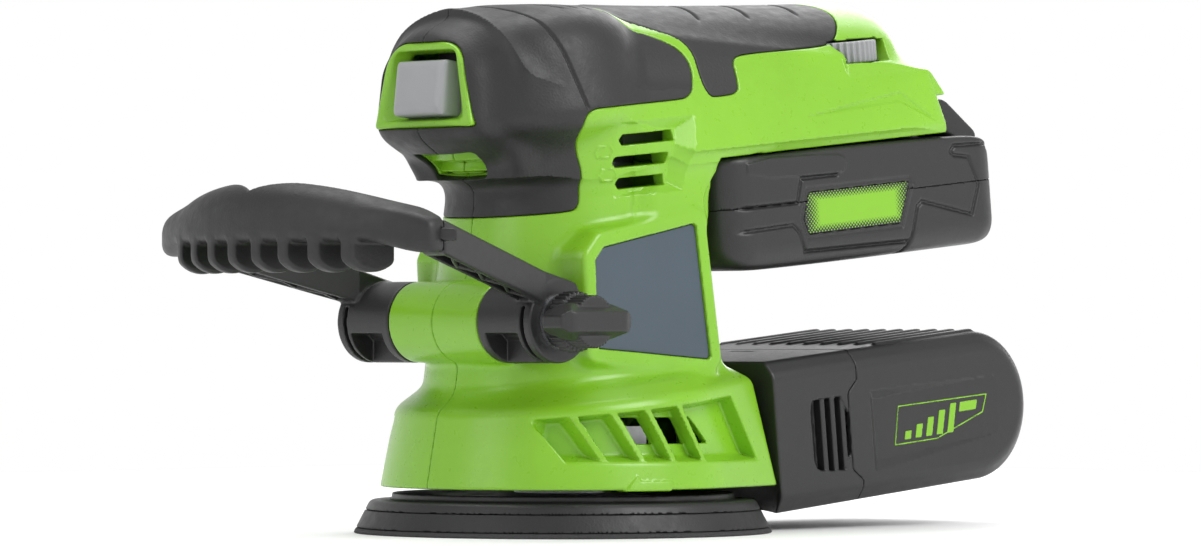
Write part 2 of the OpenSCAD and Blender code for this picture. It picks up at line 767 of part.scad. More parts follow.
module dust_box_seal() color([0.08, 0.08, 0.08]) tilted() difference() {
    block([box_split - 8, -33.5, 2.6], [box_split - 6, 33.5, 42.4]);
    block([box_split - 10, -30, 6], [box_split, 30, 39]);
}

module dust_box_labels() color("yellowgreen") tilted() for (side = [-1, 1])
    side_prism([[106.5, 14.4], [143.6, 20.4], [146.6, 26.6], [109.4, 26.2]],
        min(side * (dust_half - 0.8), side * (dust_half - 0.4)), max(side * (dust_half - 0.8), side * (dust_half - 0.4)));

// Battery ---------------------------------------------------------------

// Plan outline with rounded front corners, moved inward by d
function bat_plan(d) = let (h = battery_half - d, f = bat_front + d, b = bat_rear - d, r = 12 - d / 2)
    concat(arc(f + r, -h + r, r, 180, 270, 8), [[b - 8, -h], [b, -h + 9], [b, h - 9], [b - 8, h]],
        arc(f + r, h - r, r, 90, 180, 8));

module battery_form(d, q_low, q_high) intersection() {
    translate([0, 0, q_low]) linear_extrude(q_high - q_low) polygon(bat_plan(d));
    front_prism(both_sides([[battery_half - 6 - d, bat_low + d], [battery_half - d, bat_low + 5 + d],
        [battery_half - d, bat_top - d]]), 0, far);
    side_prism([[bat_front + 12 + d, bat_low + d], [bat_rear - 6 - d, bat_low + d], [bat_rear - d, bat_low + 3 + d],
        [bat_rear - d, 84], [bat_rear - 2.4 - d, 101], [bat_rear - 8 - d, bat_top - d], [0, bat_top - d],
        [0, bat_low + 6 + d], [bat_front + 4 + d, bat_low + 6 + d]], -60, 60);
}

// Printed side labels and the pockets they sit in
module battery_label(reach) for (side = [-1, 1])
    side_prism([[75.4, 95.6], [119.4, 95.8], [121, 94], [114.6, 80.5], [74.8, 80.6], [72.4, 86]],
        min(side * (battery_half - 1), side * (battery_half + reach)),
        max(side * (battery_half - 1), side * (battery_half + reach)));

module battery_case_bottom() color(black) tilted() difference() {
    battery_form(0, bat_low, bat_split);
    battery_form(2.2, bat_low + 2.2, bat_split + 1);
    battery_label(2);
}

latch_half = 16;

module battery_case_top() color(black) tilted() difference() {
    union() {
        difference() {
            battery_form(0, bat_split, bat_top);
            battery_form(2.2, bat_split - 1, bat_top - 2.2);
        }
        block([bat_front + 1.5, -bay_half + move_gap, bat_top - 1], [141.5, bay_half - move_gap, rail_top]);
        side_prism([[141.5 - eps, bat_top - 2], [159, bat_top - 2], [166, 101], [166.2, 106.3], [152.3, 118],
            [141.5 - eps, 118]], -25, 25);
    }
    battery_label(2);
    // room inside the rail and the rear block
    block([bat_front + 10, -bay_half + 3, bat_top - 3], [139, bay_half - 3, rail_top - 2]);
    // slots for the contact blades
    block([bat_front, -16, 109.4], [bat_front + 7.6, 16, far]);
    for (y = [-10.5, -3.5, 3.5, 10.5]) block([bat_front + 5, y - 1, 110.6], [bat_front + 22, y + 1, far]);
    // pocket of the release latch
    side_prism([[146, 109], [164.2, 109], [170, 106], [170, 130], [146, 130]], -latch_half - 0.5, latch_half + 0.5);
    block([144, -latch_half + 4, 100], [156, latch_half - 4, 112]);
}

module battery_latch() color(dark) tilted() {
    side_prism([[146.6, 111.6], [161, 111.6], [153, 118.2], [146.6, 118]], -latch_half, latch_half);
    block([148, -4, 106], [152, 4, 112]);
}

module battery_latch_spring() color(steel) tilted() translate([150, 0, 101])
    for (i = [0 : 3]) translate([0, 0, 0.6 + i * 1.3]) rotate_extrude() translate([5, 0]) circle(r = 0.4, $fn = 16);

module cell_row(half) for (i = [0 : cell_count - 1])
    y_rod(cell_p + cell_pitch * i, cell_q, cell_r, -half, half);

module battery_cells() color("steelblue") tilted() cell_row(cell_len / 2);

module battery_cell_holders() color("dimgray") tilted() difference() {
    for (side = [-1, 1]) block([49.5, side * 27 - 2, 78], [156.4, side * 27 + 2, 94.4]);
    cell_row(60);
}

module battery_board() color("darkgreen") tilted() {
    block([50, -24, 97], [150, 24, 98.6]);
    for (i = [0 : 3]) block([82 + 14 * i, -10, 98.6 - eps], [90 + 14 * i, 2, 101]);
}

module battery_terminals() color("goldenrod") tilted() for (y = [-10.5, -3.5, 3.5, 10.5])
    difference() {
        block([bat_front + 23, y - 1.6, 98.6], [bat_front + 33, y + 1.6, 113.5]);
        block([bat_front + 22, y - 0.9, 100], [bat_front + 31, y + 0.9, 114]);
    }

module battery_labels() color("yellowgreen") tilted() battery_label(0.25);

// Front handle ----------------------------------------------------------

loop_r = 100;
loop_cx = -25;
loop_inner_r = 84;

// Plan outline of the loop: half of it, from the knuckle to the front
function loop_outer() = concat([[-34, knuckle_half], [-46, knuckle_half], [-62, 47], [-98, 57.5]],
    arc(loop_cx, 0, loop_r, 180 - asin(loop_half / loop_r), 180, 10));
function loop_inner() = concat([[-34, 34.5], [-50, 34.5], [-62, 38], [-94, 46.4]],
    arc(loop_cx, 0, loop_inner_r, 180 - asin(0.5), 180, 10));
function mirrored(points) = concat(points, [for (i = [len(points) - 2 : -1 : 0]) [points[i][0], -points[i][1]]]);

module loop_plan() difference() {
    polygon(mirrored(loop_outer()));
    polygon(mirrored(loop_inner()));
}

// Sloping side band of the loop, in [x, z]
frame_band = [[-34, 65], [-46, 67.4], [-98, 81.3], [-126, 86], [-126, 96], [-98, 91], [-46, 77.2], [-34, 75]];
grip_band = [[-99, 81.5], [-110, 84.6], [-126, 84.6], [-126, 98], [-121, 102.2], [-112, 102.6], [-99, 93]];

module grip_solid() {
    intersection() {
        side_prism(grip_band, -70, 70);
        translate([0, 0, 60]) linear_extrude(60) difference() {
            polygon(mirrored(loop_outer()));
            polygon(mirrored(loop_inner()));
        }
    }
    intersection() {
        for (i = [0 : grip_ribs - 1]) translate([0, (i - (grip_ribs - 1) / 2) * 10.5, 0])
            side_prism(concat([[-122, 90]], arc(-114.5, 87, 10.5, 200, 340, 10), [[-106, 90]]), -2.2, 2.2);
        translate([0, 0, 60]) linear_extrude(60) polygon(mirrored(loop_outer()));
    }
}

// Stiff bar of the frame that the rubber is moulded round
module grip_core(d) intersection() {
    translate([0, 0, 60]) linear_extrude(60) difference() {
        polygon(arc(loop_cx, 0, loop_r - 4 + d, 145, 215, 16));
        polygon(concat(arc(loop_cx, 0, loop_inner_r + 4 - d, 140, 220, 16), [[0, 0]]));
    }
    side_prism([[-98, 84.5 - d], [-126, 88 - d], [-126, 94.5 + d], [-98, 89 + d]], -52 - d, 52 + d);
}

module handle_frame() color(black) difference() {
    union() {
        intersection() {
            translate([0, 0, 40]) linear_extrude(80) loop_plan();
            side_prism(frame_band, -70, 70);
            block([-99, -70, 0], [0, 70, 120]);
        }
        intersection() {
            grip_core(0);
            block([-far, -70, 0], [far, 70, 120]);
        }
        intersection() {
            translate([0, 0, 40]) linear_extrude(80) loop_plan();
            side_prism([[-98, 84.5], [-112, 86.3], [-112, 91.5], [-98, 89]], -70, 70);
        }
        for (side = [-1, 1]) y_rod(hinge_x, hinge_z, knuckle_r,
            min(side * (hinge_half + knuckle_gap), side * knuckle_half),
            max(side * (hinge_half + knuckle_gap), side * knuckle_half));
    }
    // hollow underside of the arms and pockets in the drums
    for (side = [-1, 1]) {
        side_prism([[-54, 62], [-97, 74], [-97, 87], [-54, 75.4]],
            side > 0 ? 40.5 : -44, side > 0 ? 44 : -40.5);
        block([-60, min(side * 24, side * 36.5), 58], [-45.5, max(side * 24, side * 36.5), 66.5]);
    }
    y_rod(hinge_x, hinge_z, bolt_r, -60, 60);
}

module handle_grip() color(black) difference() {
    grip_solid();
    grip_core(0);
    intersection() {
        translate([0, 0, 40]) linear_extrude(80) loop_plan();
        side_prism([[-98, 84.5], [-112, 86.3], [-112, 91.5], [-98, 89]], -70, 70);
    }
    block([-99, -70, 0], [0, 70, 120]);
}

// Clamp -----------------------------------------------------------------

washer_t = 1.2;
knob_y = -knuckle_half - washer_t - 0.3;

module clamp_bolt() color(steel) {
    y_rod(hinge_x, hinge_z, bolt_r, -56, knuckle_half + eps);
    intersection() {
        translate([hinge_x, knuckle_half - 3.6, hinge_z]) sphere(r = 8.6);
        block([-80, knuckle_half, 30], [0, 60, 100]);
    }
}

module clamp_washer() color(steel) difference() {
    y_rod(hinge_x, hinge_z, 8, -knuckle_half - washer_t - 0.1, -knuckle_half - 0.1);
    y_rod(hinge_x, hinge_z, bolt_r + run_gap, -60, 0);
}

module knob_bore(r) y_rod(hinge_x, hinge_z, r, -80, 0);

module clamp_knob() color(black) difference() {
    union() {
        y_rod(hinge_x, hinge_z, 6.6, knob_y - 16, knob_y);
        y_rod(hinge_x, hinge_z, 8.3, knob_y - 6.5, knob_y - 1.5);
        for (i = [0 : 23]) translate([hinge_x, 0, hinge_z]) rotate([0, i * 15, 0])
            block([7.6, knob_y - 6.4, -0.5], [8.9, knob_y - 1.6, 0.5]);
        translate([hinge_x, 0, hinge_z]) side_prism([[-14, -1.6], [-12.4, -3.8], [-6, -4.6], [6, -4.6], [12.4, -3.8],
            [14, -1.6], [14, 1.6], [12.4, 3.8], [6, 4.6], [-6, 4.6], [-12.4, 3.8], [-14, 1.6]],
            knob_y - 14.5, knob_y - 5);
        y_rod(hinge_x, hinge_z, 7, knob_y - 13.5, knob_y - 5);
    }
    y_rod(hinge_x, hinge_z, 5.6, knob_y - 11, knob_y + 1);
    y_rod(hinge_x, hinge_z, bolt_r + 0.4, knob_y - 13, knob_y + 1);
}

module knob_insert() color("goldenrod") difference() {
    y_rod(hinge_x, hinge_z, 5.6, knob_y - 11, knob_y - 0.3);
    y_rod(hinge_x, hinge_z, bolt_r + run_gap, -80, 0);
}

housing_left();
housing_right();
head_overmould_left();
head_overmould_right();
rear_grip_left();
rear_grip_right();
trigger_bezel();
trigger_button();
trigger_spring();
power_switch();
speed_dial();
speed_potentiometer();
label_panel_left();
label_panel_right();
housing_screws();
control_board();
terminal_block();
motor_can();
motor_magnets();
motor_end_cap();
carbon_brushes();
motor_shaft();
armature_core();
armature_windings();
commutator();
motor_bearing_lower();
motor_bearing_upper();
motor_leads();
fan_shroud();
fan();
eccentric_hub();
eccentric_bearing();
pad_spindle();
pad_plate();
pad_foam();
pad_hook_face();
pad_screws();
brake_ring();
dust_box_cap();
dust_box_shell();
dust_filter();
dust_box_seal();
dust_box_labels();
battery_case_bottom();
battery_case_top();
battery_cells();
battery_cell_holders();
battery_board();
battery_terminals();
battery_latch();
battery_latch_spring();
battery_labels();
handle_frame();
handle_grip();
clamp_bolt();
clamp_washer();
clamp_knob();
knob_insert();
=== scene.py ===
"""Cordless random orbital sander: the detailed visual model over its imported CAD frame.

Every moulded part is described as a signed distance in millimetres and meshed by surface nets,
so its edges are rounded the way a mould rounds them. x points to the rear, z is up, the left side
is -y, and p and q are x and z in the frame of the body, which leans back by TILT.
"""
import json
import math

import bpy
import numpy as np
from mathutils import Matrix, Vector


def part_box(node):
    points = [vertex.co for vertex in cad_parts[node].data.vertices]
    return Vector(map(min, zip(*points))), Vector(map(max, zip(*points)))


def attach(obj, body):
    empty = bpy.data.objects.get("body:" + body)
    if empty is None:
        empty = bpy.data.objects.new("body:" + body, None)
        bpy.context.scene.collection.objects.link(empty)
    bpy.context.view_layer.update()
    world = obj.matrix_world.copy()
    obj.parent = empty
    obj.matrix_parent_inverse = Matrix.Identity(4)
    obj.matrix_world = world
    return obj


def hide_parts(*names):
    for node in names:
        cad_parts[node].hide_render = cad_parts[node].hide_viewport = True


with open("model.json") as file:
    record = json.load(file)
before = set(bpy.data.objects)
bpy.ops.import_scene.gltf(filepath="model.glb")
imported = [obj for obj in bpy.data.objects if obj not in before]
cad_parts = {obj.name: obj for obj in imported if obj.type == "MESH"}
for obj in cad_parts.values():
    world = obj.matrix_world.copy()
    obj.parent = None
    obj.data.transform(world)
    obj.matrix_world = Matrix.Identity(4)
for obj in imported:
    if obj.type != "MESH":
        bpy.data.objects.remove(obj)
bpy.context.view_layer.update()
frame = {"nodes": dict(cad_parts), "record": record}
MM = 0.001

# Camera and light --------------------------------------------------------------

CAMERA_PLACE = (-1.1727, -1.2579, 0.0581)
CAMERA_AIM = (0.68667, 0.72697, math.tan(math.radians(0.6)))
LENS_MM = 172.83


def aim(obj, direction):
    obj.rotation_euler = Vector(direction).to_track_quat("-Z", "Y").to_euler()


camera = bpy.data.objects.new("camera", bpy.data.cameras.new("camera"))
camera.data.lens = LENS_MM
camera.data.sensor_width = 36
camera.location = CAMERA_PLACE
aim(camera, CAMERA_AIM)
bpy.context.scene.collection.objects.link(camera)
bpy.context.scene.camera = camera


OBJECT_MIDDLE = Vector((0.02, 0.0, 0.08))


def soft_light(name, place, power, width, height):
    data = bpy.data.lights.new(name, "AREA")
    data.shape = "RECTANGLE"
    data.size, data.size_y = width, height
    data.energy = power
    light = bpy.data.objects.new(name, data)
    light.location = place
    aim(light, OBJECT_MIDDLE - Vector(place))
    bpy.context.scene.collection.objects.link(light)


soft_light("key_light", (0.25, -1.15, 0.95), 13, 0.8, 0.8)
soft_light("front_light", (-1.2, 0.1, 0.75), 3, 0.6, 0.9)
soft_light("top_light", (0.1, 0.3, 1.3), 9, 1.0, 0.9)
soft_light("rear_light", (0.95, 0.55, 0.6), 4, 0.5, 0.9)

world = bpy.data.worlds.new("studio")
world.use_nodes = True
sky = world.node_tree
direction = sky.nodes.new("ShaderNodeTexCoord").outputs["Generated"]
split = sky.nodes.new("ShaderNodeSeparateXYZ")
fall = sky.nodes.new("ShaderNodeMapRange")
# full strength round the horizon, half of it overhead
for socket, value in {"From Min": 0.15, "From Max": 0.5, "To Min": 1.0, "To Max": 0.5}.items():
    fall.inputs[socket].default_value = value
sky.links.new(direction, split.inputs[0])
sky.links.new(split.outputs[2], fall.inputs[0])
sky.links.new(fall.outputs[0], sky.nodes["Background"].inputs["Strength"])
sky.nodes["Background"].inputs["Color"].default_value = (1, 1, 1, 1)
bpy.context.scene.world = world
bpy.context.scene.view_settings.view_transform = "Standard"


# Meshing -----------------------------------------------------------------------

CORNERS = np.array([[i, j, k] for i in (0, 1) for j in (0, 1) for k in (0, 1)])
EDGES = [(a, b) for a in range(8) for b in range(a + 1, 8) if bin(a ^ b).count("1") == 1]
AXIS_CORNER = (4, 2, 1)
ID_BITS = 20
HALVINGS = 4
CENTRE_TO_CORNER = 0.867
SLACK = 1.3  # for fields a little steeper than a distance
GROOVE_DEPTH = 0.4
FLATTEST = 0.05


def cell_ids(cells):
    c = cells.astype(np.int64)
    return (c[..., 0] << (2 * ID_BITS)) | (c[..., 1] << ID_BITS) | c[..., 2]


def cells_of(ids):
    mask = 2 ** ID_BITS - 1
    return np.stack([ids >> (2 * ID_BITS), (ids >> ID_BITS) & mask, ids & mask], -1)


def corner_values(field, low, size, cells):
    ids, where = np.unique(cell_ids(cells[:, None] + CORNERS), return_inverse=True)
    values = field(*(low + cells_of(ids) * size).T)
    values[values == 0] = 1e-6
    return values[where.reshape(-1, 8)]


def crossed(field, low, size, cells, limit):
    """The cells that the surface passes through, followed from face to face out of the given ones"""
    seen = np.unique(cell_ids(cells))
    found, values = [], []
    while len(cells):
        v = corner_values(field, low, size, cells)
        mixed = (v < 0).any(1) & (v > 0).any(1)
        cells, v = cells[mixed], v[mixed]
        found.append(cells)
        values.append(v)
        beyond = []
        for axis in range(3):
            for side in (0, 1):
                face = v[:, CORNERS[:, axis] == side]
                step = np.eye(3, dtype=int)[axis] * (2 * side - 1)
                beyond.append(cells[(face < 0).any(1) & (face > 0).any(1)] + step)
        beyond = np.concatenate(beyond)
        beyond = beyond[(beyond >= 0).all(1) & (beyond < limit).all(1)]
        fresh = np.setdiff1d(cell_ids(beyond), seen)
        seen = np.union1d(seen, fresh)
        cells = cells_of(fresh)
    return np.concatenate(found), np.concatenate(values)


def normals_at(field, points, step=0.06):
    ends = [field(*(points + step * axis).T) - field(*(points - step * axis).T) for axis in np.eye(3)]
    slope = np.stack(ends, -1) / (2 * step)
    return slope / np.maximum(np.linalg.norm(slope, axis=1, keepdims=True), 1e-9)


def settle(field, points, reach, step=0.03):
    """Moves points on to the surface"""
    here = field(*points.T)
    g = np.stack([field(*(points + step * axis).T) - here for axis in np.eye(3)], -1) / step
    steepness = np.maximum((g * g).sum(1), FLATTEST)
    return points - np.clip(here[:, None] * g / steepness[:, None], -reach, reach)


def surface(field, low, high, cell):
    """Closed quad mesh of field = 0 inside a box, by surface nets on the cells near it"""
    low = np.array(low, float)
    size = cell * 2 ** HALVINGS
    counts = np.ceil((np.array(high, float) - low) / size).astype(int)
    cells = np.stack(np.meshgrid(*[np.arange(n) for n in counts], indexing="ij"), -1).reshape(-1, 3)
    for level in range(HALVINGS + 1):
        middle = low + (cells + 0.5) * size
        cells = cells[np.abs(field(*middle.T)) < CENTRE_TO_CORNER * size * SLACK + GROOVE_DEPTH]
        if level < HALVINGS:
            cells = (cells[:, None] * 2 + CORNERS).reshape(-1, 3)
            size /= 2
    cells, v = crossed(field, low, size, cells, counts * 2 ** HALVINGS)
    total, count = np.zeros((len(cells), 3)), np.zeros(len(cells))
    for a, b in EDGES:
        crosses = (v[:, a] < 0) != (v[:, b] < 0)
        t = np.where(crosses, v[:, a] / np.where(crosses, v[:, a] - v[:, b], 1), 0)
        total += np.where(crosses[:, None], CORNERS[a] + t[:, None] * (CORNERS[b] - CORNERS[a]), 0)
        count += crosses
    points = low + (cells + total / count[:, None]) * size
    own = cell_ids(cells)
    order = np.argsort(own)
    own = own[order]
    quads = []
    for axis in range(3):
        crosses = (v[:, 0] < 0) != (v[:, AXIS_CORNER[axis]] < 0)
        base = cells[crosses]
        one, two = np.zeros(3, int), np.zeros(3, int)
        one[(axis + 1) % 3] = 1
        two[(axis + 2) % 3] = 1
        found = np.ones(len(base), bool)
        ring = []
        for offset in (0 * one, one, one + two, two):
            wanted = cell_ids(base - offset)
            at = np.minimum(np.searchsorted(own, wanted), len(own) - 1)
            found &= own[at] == wanted
            ring.append(order[at])
        quad = np.stack(ring, -1)
        flip = v[crosses, 0] > 0
        quad[flip] = quad[flip][:, ::-1]
        quads.append(quad[found])
    for _ in range(2):
        points = settle(field, points, size / 2)
    return points, np.concatenate(quads)


def mesh_object(name, points, faces, normals=None):
    mesh = bpy.data.meshes.new(name)
    per_face = faces.shape[1]
    mesh.vertices.add(len(points))
    mesh.vertices.foreach_set("co", (points * MM).astype(np.float32).ravel())
    mesh.loops.add(faces.size)
    mesh.loops.foreach_set("vertex_index", faces.astype(np.int32).ravel())
    mesh.polygons.add(len(faces))
    mesh.polygons.foreach_set("loop_start", np.arange(0, faces.size, per_face, dtype=np.int32))
    mesh.update(calc_edges=True)
    mesh.shade_smooth()
    if normals is not None:
        mesh.normals_split_custom_set_from_vertices(normals.astype(np.float32))
    obj = bpy.data.objects.new(name, mesh)
    bpy.context.scene.collection.objects.link(obj)
    return obj


COARSE = 1.0


def piece(name, field, cell, body, slot, node, margin=1.5, look=None):
    """Meshes a field inside the box of the CAD node that it replaces"""
    low, high = np.array(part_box(node)) / MM
    points, quads = surface(field, low - margin, high + margin, cell * COARSE)
    obj = mesh_object(name, points, quads, normals_at(field, points))
    obj.data.materials.append(looks[look or slot])
    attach(obj, body)
    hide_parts(node)
    return obj

# Signed distances ------------------------------------------------------------
# A field takes coordinates in millimetres and gives a distance, negative inside.

TILT = math.radians(5.8)
COS, SIN = math.cos(TILT), math.sin(TILT)


def lean(x, z):
    """Upright x and z as p and q in the body's tilted frame"""
    return x * COS + z * SIN, z * COS - x * SIN


def folded(x, y, z):
    """p and q, with the distance a from the middle plane between them"""
    p, q = lean(x, z)
    return p, np.abs(y), q


def soft_min(a, b, k):
    if k <= 0:
        return np.minimum(a, b)
    h = np.maximum(k - np.abs(a - b), 0.0) / k
    return np.minimum(a, b) - h * h * k * 0.25


def soft_max(a, b, k):
    return -soft_min(-a, -b, k)


def join(k, first, *others):
    for other in others:
        first = soft_min(first, other, k)
    return first


def meet(k, first, *others):
    for other in others:
        first = soft_max(first, other, k)
    return first


def cut(body, tool, k=0.0):
    return soft_max(body, -tool, k)


def slab(a, low, high):
    return np.abs(a - (low + high) / 2) - (high - low) / 2


def line(a, b, start, end):
    """Distance from the line through start and end, positive on the right of its direction"""
    da, db = end[0] - start[0], end[1] - start[1]
    return ((a - start[0]) * db - (b - start[1]) * da) / math.hypot(da, db)


def convex(a, b, points, k):
    """Convex outline with rounded corners, listed anticlockwise"""
    sides = [line(a, b, points[i - 1], points[i]) for i in range(len(points))]
    return meet(k, *sides)


def outline(a, b, points):
    """Exact distance from any closed outline"""
    best = np.full(np.shape(a), 1e12)
    inside = np.zeros(np.shape(a), bool)
    for i in range(len(points)):
        (ax, ay), (bx, by) = points[i - 1], points[i]
        ex, ey = bx - ax, by - ay
        wx, wy = a - ax, b - ay
        t = np.clip((wx * ex + wy * ey) / (ex * ex + ey * ey), 0.0, 1.0)
        best = np.minimum(best, (wx - ex * t) ** 2 + (wy - ey * t) ** 2)
        if ey != 0:
            inside ^= ((ay > b) != (by > b)) & ((wx * ey - wy * ex < 0) == (ey < 0))
    best = np.sqrt(best)
    return np.where(inside, -best, best)


class Stencil:
    """Distance from an outline, looked up in a fine table"""

    def __init__(self, points, step=0.3, margin=9.0):
        corners = np.array(points)
        self.low, self.step = corners.min(0) - margin, step
        self.count = np.ceil((corners.max(0) + margin - self.low) / step).astype(int) + 1
        axes = [self.low[i] + step * np.arange(self.count[i]) for i in (0, 1)]
        self.table = outline(*np.meshgrid(*axes, indexing="ij"), points)

    def __call__(self, a, b):
        u, v = (a - self.low[0]) / self.step, (b - self.low[1]) / self.step
        cu, cv = np.clip(u, 0, self.count[0] - 1.001), np.clip(v, 0, self.count[1] - 1.001)
        i, j = cu.astype(int), cv.astype(int)
        s, t = cu - i, cv - j
        table = self.table
        low = table[i, j] * (1 - t) + table[i, j + 1] * t
        high = table[i + 1, j] * (1 - t) + table[i + 1, j + 1] * t
        return low * (1 - s) + high * s + np.hypot(u - cu, v - cv) * self.step


# Outer form of the housing -----------------------------------------------------

COLUMN_TILT = 0.0577
HINGE = (-40.5, 62.6)
TUBE_R, TUBE_HALF = 11.87, 19.2


def from_hinge(x, z):
    return np.hypot(x - HINGE[0], z - HINGE[1])


def skirt(x, y, z):
    q = lean(x, z)[1]
    a = np.abs(y)
    reach = 54.4 - 0.196 * (z - 14)
    round_side = np.hypot(x, y) - reach
    flat_side = 0.345 * x + 0.939 * a - reach
    side = np.where(0.939 * x > 0.345 * a, flat_side, round_side) * 0.981
    rear = 0.981 * (x - 53) + 0.193 * (z - 12.9)
    wall = soft_max(side, rear, 3.0)
    chamfer = 0.632 * wall + 0.775 * (q - 40.8)
    return meet(1.6, soft_max(wall, 13.8 - z, 0.8), chamfer, q - 46.1)


def column(x, a, z):
    centre = -4.9 + COLUMN_TILT * (z - 48.6)
    radius = 37.5 - 0.0776 * (z - 48.6)
    cone = np.hypot(x - centre, a) - radius
    rear = soft_max((x - 37 + 0.179 * (z - 49)) * 0.984, (x - 32 + 0.273 * (z - 77)) * 0.965, 4)
    flat = meet(5, a - 33, rear)
    flat = np.maximum(flat, centre - x)
    cone = soft_max(cone, rear, 5)
    return np.maximum(join(4, cone, flat), slab(z, 36, 128))


def head(p, a, q):
    r = np.hypot(p + 5.7, a)
    side = 0.9766 * (r - 40.4) + 0.215 * (q - 123.9)
    top = (q - 158.4 + 0.000254 * r ** 2.94) / np.sqrt(1 + (0.000747 * r ** 1.94) ** 2)
    low = 0.6057 * (r - 32.8) - 0.7957 * (q - 116.3)
    rim = 0.707 * (r - 38.6) - 0.707 * (q - 120.9)
    brow = (q - 157.5 + 0.12 * (p + 2)) * 0.99
    return meet(4, meet(1.5, meet(6, side, top), brow), meet(3, low, rim))


DOME_END = 138.6
DOME_ROUND = 26.0


def crown(p):
    """Height of the spine of the rear body"""
    return 157.6 - 0.083 * p + 0.00018 * p * p - 3.4 * np.clip((24 - p) / 26, 0, 1)


def wing_side(a, q):
    planes = [line(a, q, (39.2, 111.4), (36.4, 126)), line(a, q, (36.4, 126), (28.8, 141.5))]
    return meet(5, *planes)


def wing_top(p, a, q):
    e = q - crown(p) + 153.2
    planes = [line(a, 0.5 * (q + e), (30.2, 140.6), (22, 147.9)), line(a, e, (22, 148.4), (12, 152.6)),
              (e - 153.7) * 0.995]
    return meet(6, *planes)


def wing(p, a, q):
    side, top = wing_side(a, q), wing_top(p, a, q)
    section = soft_max(side, top, 4)
    low = line(a, q, (37.4, 107.9), (39.2, 111.4))
    body = meet(0.6, section, low)
    # the sides grow out of the column behind the head
    front = meet(4, 0.9 * (a - 31.5) - 0.3 * (p + 12) + 0.3 * (120 - q), -30 - p)
    # flanks down to the battery, closed behind by a narrow facet
    facet = 0.328 * (p - 132.2) + 0.915 * (a - 38) + 0.234 * (q - 119.7)
    ledge_top = (q - 128.6 + 0.14 * (p - 125.7) - 0.28 * (36 - a)) * 0.95
    flank = meet(1.0, body, facet, 0.985 * (p - 138.9) + 0.167 * (q - 108.4), ledge_top)
    tail_end = 0.774 * (p - 143.5) + 0.633 * (q - 119.5)
    tail = meet(1.0, facet, 119.4 - q, tail_end, ledge_top, 100 - p, a - 34.6)
    rear = soft_max(p - DOME_END, 0.62 * (p - DOME_END) + 0.785 * (q - 147), 6)
    plan = soft_max(side, rear, DOME_ROUND)
    dome = np.maximum(soft_max(plan, top, 5), 112 - q)
    whole = join(5, np.minimum(flank, tail), dome)
    return meet(0, whole, 107.9 - q, front)


def web(p, a, q, x, z):
    """Rounded corner where the column meets the underside of the wing"""
    rear = (x - 32 + 0.273 * (z - 77)) * 0.965
    corner = soft_min(rear, 108.6 - q, 26)
    return meet(5, corner, a - 36.5, p - 62, 88 - q, q - 116, 10 - p)


LABEL = [(-20.0, 54.8), (24.8, 51.6), (25.8, 52.6), (19.6, 91.0), (18.2, 91.8), (-18.0, 84.4), (-21.4, 80.6)]
LABEL_FACE = 36.6
label_edge = Stencil(LABEL)


def label_frame(x, a, z):
    edge, face = label_edge(x, z), a - LABEL_FACE - 0.5
    return meet(1.2, 0.9 * (edge - 4.2) + 0.43 * face, face, edge - 5.5, 26 - a)


def housing_form(x, y, z):
    p, a, q = folded(x, y, z)
    post = join(8, column(x, a, z), wing(p, a, q))
    post = join(4, post, web(p, a, q, x, z))
    post = join(2.5, post, head(p, a, q))
    post = join(2.5, post, label_frame(x, a, z))
    post = join(3, post, skirt(x, y, z))
    return join(3, post, soft_max(from_hinge(x, z) - TUBE_R, a - TUBE_HALF, 1.0))


# Materials -----------------------------------------------------------------------


